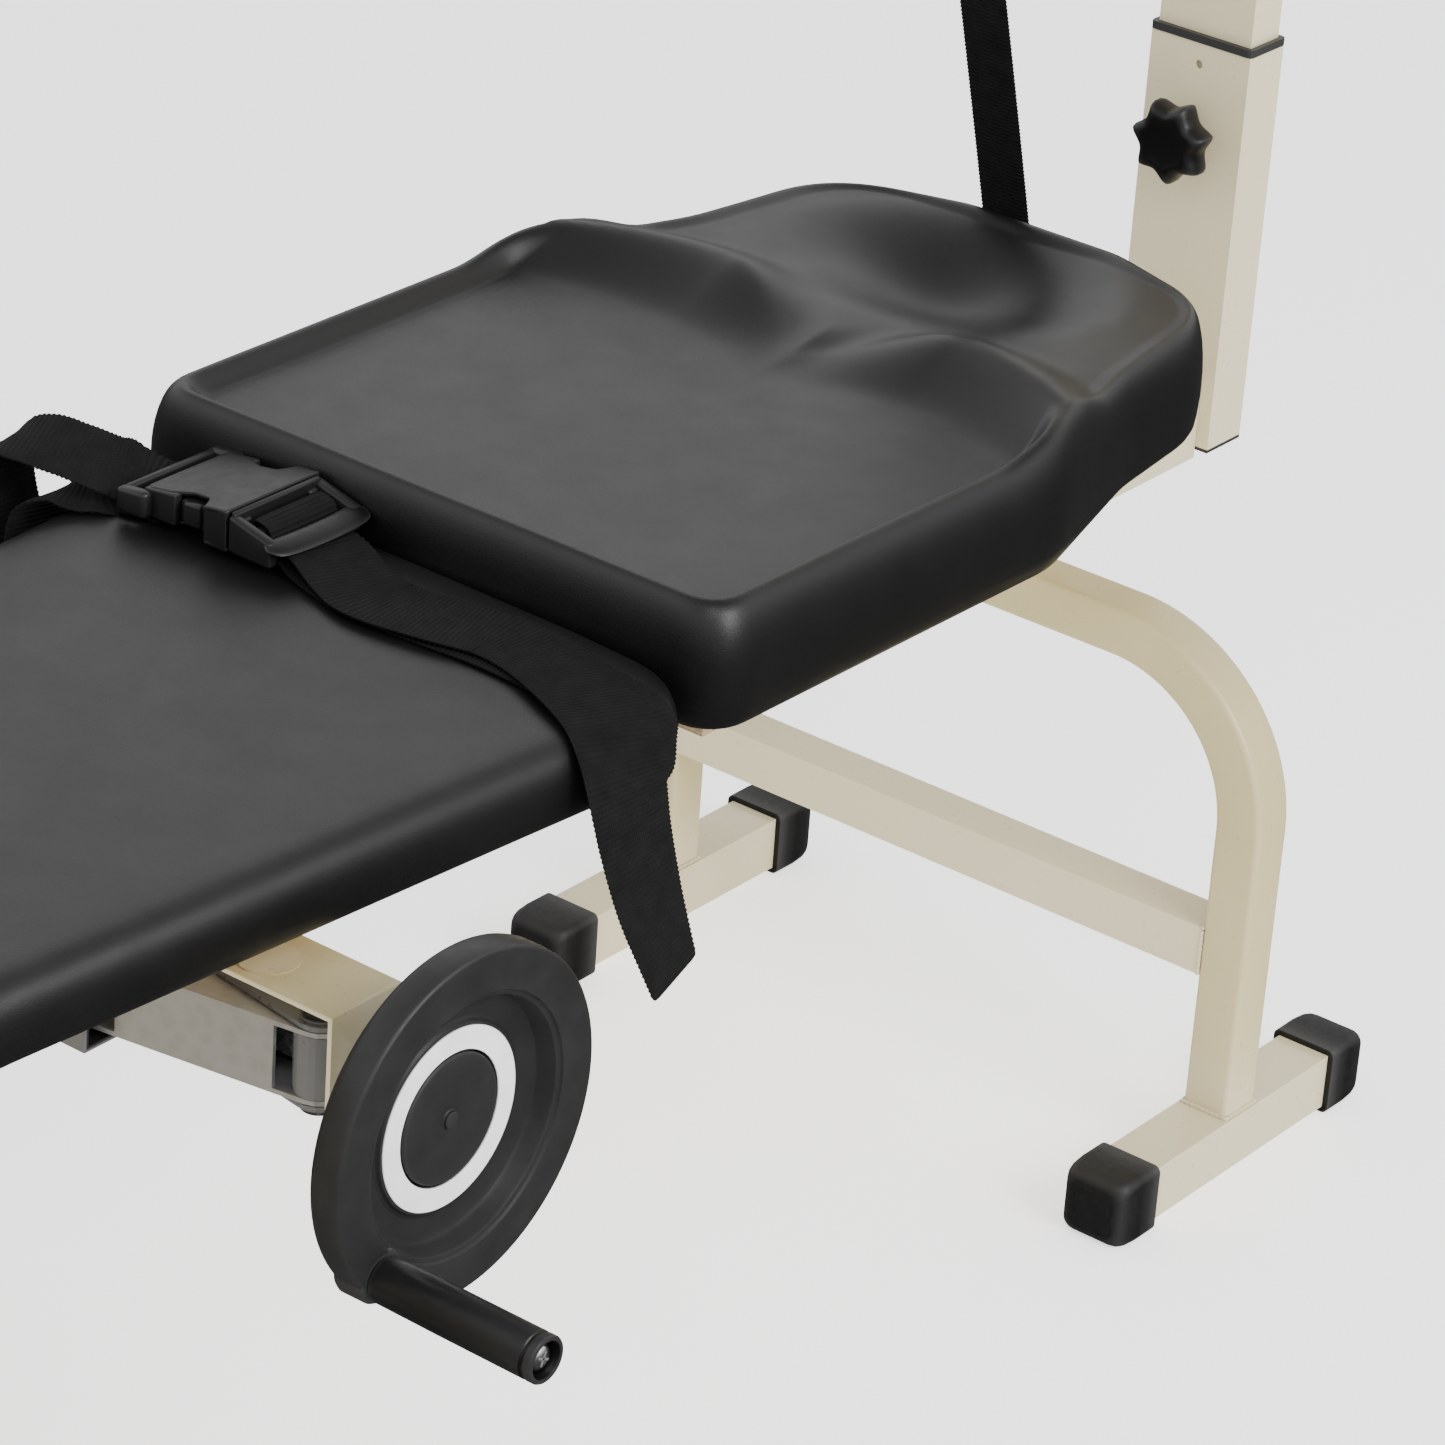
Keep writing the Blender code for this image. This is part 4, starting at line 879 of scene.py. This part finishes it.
def belt_far():
    """The strap from the far edge to the female buckle, lifted in soft waves, doubled under itself."""
    edge = LOWER_HIGH.y
    top = PAD_TOP + WEB_THICK / 2 + 0.0012
    under = belt_route([
        (-0.048, edge + 0.010, 0.503), (-0.046, edge + 0.013, 0.520), (-0.043, edge + 0.011, 0.541),
        (-0.038, edge, 0.5520), (-0.028, edge - 0.016, top + 0.0010), (-0.014, 0.188, top),
        (-0.006, 0.168, top), (-0.003, 0.150, top - 0.0004)])
    mesh, length = ribbon("belt_far_under", under, BELT_WIDTH)
    lower = piece(mesh, "carriage", WEB, ["belt_far"])
    over = belt_route([
        (-0.050, edge + 0.020, 0.505), (-0.050, edge + 0.032, 0.520), (-0.049, edge + 0.041, 0.542),
        (-0.047, edge + 0.044, 0.562, (0.99, 0.03, 0.04)),
        (-0.044, edge + 0.039, 0.5745, (0.98, 0.06, 0.10)),
        (-0.037, edge + 0.024, 0.5775, (0.98, 0.06, 0.10)),
        (-0.027, edge + 0.004, 0.5735, (0.98, 0.05, 0.06)),
        (-0.015, edge - 0.018, 0.5665, (0.99, 0.02, 0.03)), (-0.004, 0.1850, 0.5610),
        (0.002, 0.1745, 0.5605), (0.003, 0.1685, 0.5640), (0.003, 0.1625, 0.5645), (0.003, 0.1590, 0.5590)])
    mesh, length = ribbon("belt_far_strap", over, BELT_WIDTH)
    upper = piece(mesh, "carriage", WEB)


def belt_near():
    """The anchored strap under the pad's edge, and the free tail that lies over it and hangs."""
    edge = -LOWER_HIGH.y
    top = PAD_TOP + WEB_THICK / 2 + 0.0010
    anchored = belt_route([
        (0.001, 0.0660, PAD_TOP + 0.0095), (0.0, 0.0480, PAD_TOP + 0.0055), (-0.006, 0.0280, top + 0.0006),
        (-0.014, -0.010, top), (-0.013, -0.060, top), (-0.010, -0.105, top), (-0.012, -0.150, top),
        (-0.017, -0.190, top - 0.0004), (-0.019, edge + 0.010, PAD_TOP - 0.0010),
        (-0.021, edge - 0.0012, PAD_TOP - 0.009), (-0.022, edge - 0.0034, PAD_TOP - 0.022),
        (-0.022, edge - 0.0028, PAD_TOP - 0.038), (-0.022, edge + 0.0035, PAD_TOP - 0.0505)])
    mesh, length = ribbon("belt_anchored", anchored, BELT_WIDTH)
    lower = piece(mesh, None, WEB)
    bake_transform(lower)
    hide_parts("belt_near")
    over = top + 0.0028
    tail = belt_route([
        (0.0, 0.0520, PAD_TOP + 0.0135), (-0.002, 0.0360, over + 0.0062),
        (-0.012, 0.0080, over + 0.0008, (1.0, -0.08, 0.0)), (-0.020, -0.020, over + 0.0004, (1.0, 0.02, 0.0)),
        (-0.015, -0.060, over + 0.0012, (1.0, 0.07, 0.01)), (-0.006, -0.100, over + 0.0008),
        (-0.010, -0.137, over, (0.98, -0.15, 0.0)), (-0.026, -0.178, over, (0.93, -0.34, -0.01)),
        (-0.039, edge + 0.009, PAD_TOP + 0.0012, (0.91, -0.38, -0.02)),
        (-0.047, edge - 0.0075, PAD_TOP - 0.010, (0.93, -0.34, 0.0)),
        (-0.048, edge - 0.0140, PAD_TOP - 0.030, (0.97, -0.20, 0.0)),
        (-0.045, edge - 0.0195, PAD_TOP - 0.060, (0.99, -0.10, 0.0)),
        (-0.040, edge - 0.0275, PAD_TOP - 0.095),
        (-0.035, edge - 0.0370, PAD_TOP - 0.125, (0.99, 0.12, -0.04)),
        (-0.032, edge - 0.0430, PAD_TOP - 0.143, (0.98, 0.18, -0.08))])
    mesh, length = ribbon("belt_tail", tail, BELT_WIDTH - 0.002, frayed=True)
    upper = piece(mesh, None, WEB)
    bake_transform(upper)


def pull_strap():
    """The strap from the spine's anchor up behind the pad's head end to the arm."""
    low, high = cad_box("pull_strap")
    across = Vector((0.0, 1.0, 0.0))
    top = Vector((low.x + 0.002, low.y + STRAP_WIDTH / 2, high.z - 0.004))
    bottom = Vector((high.x - 0.001, high.y - STRAP_WIDTH / 2, low.z + 0.001))
    stations = []
    for k in range(9):
        share = k / 8
        bow = 0.004 * math.sin(math.pi * share)
        stations.append((bottom.lerp(top, share) + Vector((bow, 0.0, 0.0)), across))
    mesh, length = ribbon("pull_strap_web", stations, STRAP_WIDTH, columns=10)
    made = piece(mesh, None, WEB)
    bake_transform(made)
    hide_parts("pull_strap")


# ---- side-release buckle ----
def buckle_level(y, height):
    """Height of a point that is this far above the buckle's base, where the buckle is thinner at its ends."""
    reach = FEMALE_FAR - FEMALE_NEAR if y > FEMALE_NEAR else FEMALE_NEAR - MALE_NEAR
    share = mix(1.0, BUCKLE_END_SHARE, min(abs(y - FEMALE_NEAR) / reach, 1.0))
    return BUCKLE_BASE + height * share


def tapered(mesh):
    """A buckle mesh made with level faces, thinned towards the buckle's ends."""
    for vert in mesh.vertices:
        vert.co.z = buckle_level(vert.co.y, vert.co.z - BUCKLE_BASE)
    return mesh


def plate(name, outline, low, high, edge, stands_for=()):
    """A flat outline (x, y) of the female half from low to high, with rounded rims."""
    rings = []
    for inset, rise in ((edge * 2, 0.0), (edge, 0.0), (edge * 0.3, edge * 0.3), (0.0, edge)):
        rings.append([Vector((x, y, low + rise)) for x, y in shrunk(outline, inset)])
    for inset, drop in ((0.0, edge), (edge * 0.3, edge * 0.3), (edge, 0.0), (edge * 2, 0.0)):
        rings.append([Vector((x, y, high - drop)) for x, y in shrunk(outline, inset)])
    mesh = tapered(loft(name, rings, angle=50.0))
    return piece(mesh, "carriage", BUCKLE, stands_for)


def shrunk(outline, inset):
    """A closed outline moved in by inset along its own normals."""
    points = [Vector(p) for p in outline]
    size = len(points)
    area = sum(a.x * b.y - b.x * a.y for a, b in zip(points, points[1:] + points[:1]))
    way = 1.0 if area > 0 else -1.0
    found = []
    for k, here in enumerate(points):
        along = (points[(k + 1) % size] - points[k - 1]).normalized()
        found.append(here + Vector((-along.y, along.x)) * inset * way)
    return found


def half_and_mirror(half):
    """A closed outline from the points (half width, along, radius) of its head side."""
    head = [(0.0, half[0][1], 0.0)] + half + [(0.0, half[-1][1], 0.0)]
    foot = [(-x, y, r) for x, y, r in head]
    return [(BUCKLE_X + p.x, p.y) for p in two_sided_plan(head, foot, 160)]


def block(middle, half, near, far, low, high, edge):
    """A rounded box for boxes(), this far to both sides of middle."""
    return (middle - half, near, low), (middle + half, far, high), edge


def buckle_female():
    w = BUCKLE_HALF
    near, far = FEMALE_NEAR, FEMALE_FAR
    base, top = BUCKLE_BASE, BUCKLE_TOP
    outline = half_and_mirror([
        (w, near, 0.001), (w + 0.0005, near + 0.0175, 0.003), (w - 0.0115, near + 0.0235, 0.005),
        (w - 0.0125, near + 0.0360, 0.007), (w - 0.0060, near + 0.0500, 0.010),
        (w - 0.0050, far - 0.0185, 0.003)])
    plate("buckle_lid", outline, top - 0.0032, top, 0.0010, ["buckle_female"])
    plate("buckle_floor", outline, base, base + 0.0028, 0.0008)
    parts = []
    for way in (-1, 1):
        side = BUCKLE_X + way * (w - 0.0018)
        rear = BUCKLE_X + way * (w - 0.0068)
        ear = BUCKLE_X + way * (w - 0.0010) - 0.0001
        parts += [block(side, 0.0020, near + 0.0004, near + 0.0180, base + 0.0006, top - 0.0006, 0.0008),
                  block(rear, 0.0035, near + 0.0440, far - 0.0170, base + 0.0006, top - 0.0008, 0.0015),
                  block(ear, 0.0049, far - 0.0240, far, base + 0.0004, top - 0.0024, 0.0038)]
    parts += [block(BUCKLE_X, w, far - 0.0068, far - 0.0004, top - 0.0140, top - 0.0030, 0.0030),
              block(BUCKLE_X, w - 0.008, far - 0.0200, far - 0.0165, base + 0.0006, top - 0.0006, 0.0010)]
    piece(tapered(boxes("buckle_walls", parts)), "carriage", BUCKLE)


def buckle_male():
    w = BUCKLE_HALF
    near, far = MALE_NEAR, FEMALE_NEAR - 0.0006
    low, high = BUCKLE_BASE + 0.0004, BUCKLE_TOP - 0.0008
    bar_y = near + LADDER_BAR
    parts = []
    for way in (-1, 1):
        side = BUCKLE_X + way * (w - 0.0042)
        prong = BUCKLE_X + way * (w - 0.0115)
        barb = BUCKLE_X + way * (w - 0.0085)
        parts += [block(side, 0.0040, near + 0.0040, far, low, high - 0.0012, 0.0026),
                  block(prong, 0.0042, far - 0.006, far + 0.0440, low + 0.0040, high - 0.0042, 0.0018),
                  block(barb, 0.0040, far + 0.0260, far + 0.0400, low + 0.0040, high - 0.0042, 0.0022)]
    parts += [block(BUCKLE_X, w - 0.003, far - 0.0036, far, low, high, 0.0012),
              block(BUCKLE_X, w - 0.003, bar_y - 0.0034, bar_y + 0.0034, low + 0.0060, high - 0.0050, 0.0026),
              block(BUCKLE_X, 0.0042, far - 0.001, far + 0.030, low + 0.0045, high - 0.0045, 0.0016)]
    frame_mesh = tapered(boxes("buckle_male_frame", parts))
    piece(frame_mesh, "male_buckle", BUCKLE, ["buckle_male"])
    end_bar(near, buckle_level(near, high - 0.0045 - BUCKLE_BASE))
    tall = BUCKLE_TOP - BUCKLE_BASE
    turns = [(near + 0.0060, 0.0060), (near + 0.0115, 0.50 * tall), (bar_y - 0.0060, 0.86 * tall),
             (bar_y, 0.915 * tall), (bar_y + 0.0055, 0.86 * tall), (bar_y + 0.0082, 0.55 * tall),
             (bar_y + 0.0060, 0.0040)]
    loop = [((BUCKLE_X, y, buckle_level(y, height)), FLAT) for y, height in turns]
    mesh, length = ribbon("buckle_loop", loop, BELT_WIDTH, 0.0018)
    made = piece(mesh, "male_buckle", WEB)


def end_bar(near, level):
    """The bowed grip bar at the male half's end."""
    rings = []
    for k in range(33):
        share = k / 32 * 2 - 1
        x = BUCKLE_X + share * (BUCKLE_HALF + 0.0028)
        y = near + 0.0035 - 0.0036 * (1 - share * share)
        thin = 0.0022 * math.sqrt(max(1 - share ** 6, 0.0)) + 0.0003
        wide = 0.0088 * math.sqrt(max(1 - share ** 8, 0.0)) + 0.0006
        ring = [(wide * a, thin * b) for a, b in arc((0.0, 0.0), 1.0, 0, 360, 14)[:14]]
        rings.append([Vector((x, y + a * 0.92, level + a * 0.20 + b)) for a, b in ring])
    piece(loft("buckle_end_bar", rings, angle=70.0), "male_buckle", BUCKLE)


# ---- handwheel, grip and knob ----
def handwheel():
    """Depth in the profiles runs from the rim's face towards the bed."""
    centre = (WHEEL_AXIS.x, WHEEL_FACE, WHEEL_AXIS.z)
    cap_seat = CAP_RADIUS + 0.0003
    rim = [(0.0074, 0.0190), (cap_seat, 0.0190), (cap_seat + 0.0004, 0.0148), (cap_seat + 0.0012, 0.0140),
           (RING_RADIUS, 0.0140), (RING_RADIUS + 0.0008, 0.0142), (RING_RADIUS + 0.0022, 0.0158),
           (RING_RADIUS + 0.0040, 0.0164), (0.0690, 0.0150), (0.0715, 0.0138), (0.0730, 0.0115),
           (0.0745, 0.0040), (0.0752, 0.0026), (0.0764, 0.0022), (0.0776, 0.0018), (0.0786, 0.0003),
           (0.0800, 0.0)]
    rim += arc((WHEEL_RADIUS - 0.0032, 0.0030), 0.0030, -90, -15, 5)
    rim += [(WHEEL_RADIUS, 0.0070), (WHEEL_RADIUS, 0.0160)]
    rim += arc((WHEEL_RADIUS - 0.0060, 0.0165), 0.0058, 10, 90, 6)
    rim += [(0.0850, 0.0224), (0.0775, 0.0220), (0.0745, 0.0205), (0.0720, 0.0192), (0.0400, 0.0215),
            (0.0300, 0.0225), (0.0235, 0.0250), (0.0212, 0.0300), (0.0200, 0.0395), (0.0074, 0.0400)]
    piece(turned("handwheel_rim", rim, centre, 128, 24.0), "screw", WHEEL_PAINTED_REFLECTION, ["handwheel"])
    inside = CAP_RADIUS + 0.0014
    outside = RING_RADIUS - 0.0008
    ring = [(inside, 0.0134), (inside + 0.0004, 0.0131), (outside - 0.0004, 0.0131), (outside, 0.0134),
            (outside, 0.0141), (inside, 0.0141)]
    piece(turned("handwheel_ring", ring, centre, 128), "screw", RING)
    cap = [(0.0, 0.0112), (0.0042, 0.0112), (0.0050, 0.0116), (0.0052, 0.0128), (0.0062, 0.0134),
           (0.0078, 0.0129), (CAP_RADIUS - 0.0028, 0.0123), (CAP_RADIUS - 0.0010, 0.0127),
           (CAP_RADIUS - 0.0002, 0.0138), (CAP_RADIUS, 0.0188), (0.0, 0.0188)]
    piece(turned("handwheel_cap", cap, centre), "screw", WHEEL_PAINTED_REFLECTION, ["wheel_cap"])
    lobe_centre = (GRIP_AXIS.x, WHEEL_FACE, GRIP_AXIS.z)
    lobe = [(0.0045, -0.0003), (0.0130, -0.0003), (0.0152, 0.0006), (0.0162, 0.0026), (0.0163, 0.0185),
            (0.0150, 0.0210), (0.0120, 0.0224), (0.0045, 0.0224)]
    piece(turned("handwheel_boss", lobe, lobe_centre, 48), "screw", WHEEL_PAINTED_REFLECTION)


def handle_grip():
    length = GRIP_HIGH.y - GRIP_LOW.y
    radius = (GRIP_HIGH.x - GRIP_LOW.x) / 2
    sleeve = [(0.0046, length), (radius - 0.0024, length), (radius - 0.0008, length - 0.0010),
              (radius - 0.0004, length - 0.0035), (radius - 0.0001, length * 0.6), (radius, 0.0085),
              (radius - 0.0007, 0.0078), (radius - 0.0009, 0.0070), (radius - 0.0007, 0.0062),
              (radius, 0.0056), (radius, 0.0014), (radius - 0.0006, 0.0004), (radius - 0.0016, 0.0),
              (radius - 0.0028, 0.0003), (radius - 0.0034, 0.0014), (radius - 0.0036, 0.0098),
              (0.0046, 0.0106)]
    centre = (GRIP_AXIS.x, GRIP_LOW.y, GRIP_AXIS.z)
    piece(turned("grip_sleeve", sleeve, centre, 56), "grip", PLASTIC, ["handle_grip"])
    head = [(0.0, 0.0030), (0.0016, 0.0030), (0.0034, 0.0024), (0.0062, 0.0034), (0.0078, 0.0052),
            (0.0080, 0.0100), (0.0, 0.0100)]
    piece(turned("grip_screw_head", head, centre, 40), "screw", STEEL)
    bm = bmesh.new()
    for turn in (math.radians(25), math.radians(115)):
        made = bmesh.ops.create_cube(bm, size=1.0)["verts"]
        bmesh.ops.scale(bm, vec=(0.0090, 0.0012, 0.0013), verts=made)
        bmesh.ops.rotate(bm, cent=(0, 0, 0), matrix=Matrix.Rotation(turn, 3, "Y"), verts=made)
        bmesh.ops.translate(bm, vec=(centre[0], centre[1] + 0.0030, centre[2]), verts=made)
    piece(finished("grip_screw_cross", bm), "screw", BLACK)


def clamp_knob():
    """A seven-lobed knob: scalloped rim, chamfered face and a light stud behind."""
    low, high = cad_box("clamp_knob")
    centre = Vector((low.x, 0.0, (low.z + high.z) / 2))
    radius = (high.z - low.z) / 2 + 0.0006
    lobes = 7
    outline = []
    for k in range(lobes * 24):
        turn = 2 * math.pi * k / (lobes * 24)
        wave = math.sqrt(math.sin(lobes * turn / 2) ** 2 + 0.012)
        outline.append((radius - 0.0072 * (wave - 0.11), turn + math.radians(8)))
    stations = [(0.50, 0.0012), (0.62, 0.0004), (0.70, 0.0), (0.80, 0.0004), (0.90, 0.0020), (0.965, 0.0045),
                (1.0, 0.0080), (1.0, 0.0150), (0.955, 0.0185), (0.70, 0.0192), (0.40, 0.0195)]
    rings = []
    for scale, depth in stations:
        lobed = 1.0 if scale > 0.75 else 0.4
        ring = [(mix(radius * 0.86, r, lobed) * scale, t) for r, t in outline]
        rings.append([centre + Vector((depth, r * math.cos(t), r * math.sin(t))) for r, t in ring])
    piece(loft("star_knob", rings, angle=42.0), "knob", PLASTIC, ["clamp_knob"])
    tip = high.x - low.x
    stud = [(0.0, 0.0188), (0.0092, 0.0188), (0.0092, 0.0260), (0.0062, 0.0268), (0.0062, tip), (0.0, tip)]
    piece(turned("knob_stud", stud, centre, 36, along_bed=True), "knob", STEEL)


# ---- floor, light and camera ----
def studio():
    size = 30.0
    corners = [(-size, -size, 0), (size, -size, 0), (size, size, 0), (-size, size, 0)]
    floor_mesh = bpy.data.meshes.new("floor")
    floor_mesh.from_pydata(corners, [], [(0, 1, 2, 3)])
    pale, _ = new_material("pale_floor")
    floor_mesh.materials.append(surface(pale, {
        "Base Color": (0.93, 0.93, 0.93, 1.0), "Roughness": 0.9, "Specular IOR Level": 0.1,
        "Emission Color": (1.0, 1.0, 1.0, 1.0), "Emission Strength": FLOOR_GLOW}))
    floor = bpy.data.objects.new("floor", floor_mesh)
    bpy.context.scene.collection.objects.link(floor)
    floor.visible_glossy = False
    world = bpy.data.worlds.new("studio")
    world.use_nodes = True
    tree = world.node_tree
    sky = tree.nodes["Background"]
    facing = node(tree, "ShaderNodeTexCoord")
    parts = node(tree, "ShaderNodeSeparateXYZ")
    tree.links.new(facing.outputs["Generated"], parts.inputs["Vector"])
    height = parts.outputs["Z"]
    strength = node(tree, "ShaderNodeMath", operation="MULTIPLY")
    tree.links.new(map_range(tree, height, -0.15, 0.42, SKY_LOW, SKY_BAND, "SMOOTHSTEP"), strength.inputs[0])
    tree.links.new(map_range(tree, height, 0.48, 0.92, 1.0, SKY_ZENITH / SKY_BAND, "SMOOTHSTEP"),
                   strength.inputs[1])
    tree.links.new(strength.outputs["Value"], sky.inputs["Strength"])
    sky.inputs["Color"].default_value = (1.0, 1.0, 1.0, 1.0)
    bpy.context.scene.world = world
    area_light("key", (0.1, -3.4, 2.7), (-0.2, 0.0, 0.45), 2.0, 150.0)
    area_light("top", (-1.2, -1.3, 3.3), (-0.5, -0.1, 0.5), 0.9, 22.0)
    area_light("fill", (-1.6, 2.6, 3.2), (0.0, 0.0, 0.5), 3.0, 14.0)


def area_light(name, place, aim, size, power):
    lamp = bpy.data.lights.new(name, "AREA")
    lamp.size = size
    lamp.energy = power
    made = bpy.data.objects.new(name, lamp)
    bpy.context.scene.collection.objects.link(made)
    made.location = place
    made.rotation_euler = (Vector(aim) - Vector(place)).to_track_quat("-Z", "Y").to_euler()


def camera():
    level = math.cos(CAMERA_DROP)
    ahead = Vector((math.cos(CAMERA_YAW) * level, math.sin(CAMERA_YAW) * level, -math.sin(CAMERA_DROP)))
    right = Vector((math.sin(CAMERA_YAW), -math.cos(CAMERA_YAW), 0.0))
    up = right.cross(ahead)
    tilted_right = right * math.cos(CAMERA_ROLL) + up * math.sin(CAMERA_ROLL)
    tilted_up = up * math.cos(CAMERA_ROLL) - right * math.sin(CAMERA_ROLL)
    lens = bpy.data.cameras.new("camera")
    lens.lens = CAMERA_LENS
    lens.sensor_width = 36.0
    made = bpy.data.objects.new("camera", lens)
    bpy.context.scene.collection.objects.link(made)
    turn = Matrix((tilted_right, tilted_up, -ahead)).transposed().to_4x4()
    made.matrix_world = Matrix.Translation(CAMERA_PLACE + BED) @ turn
    bpy.context.scene.camera = made


for make in (camera, studio, dress_frame, end_frames, upper_pad, lower_pad, belt_far, belt_near, pull_strap,
             buckle_female, buckle_male, handwheel, handle_grip, clamp_knob):
    make()
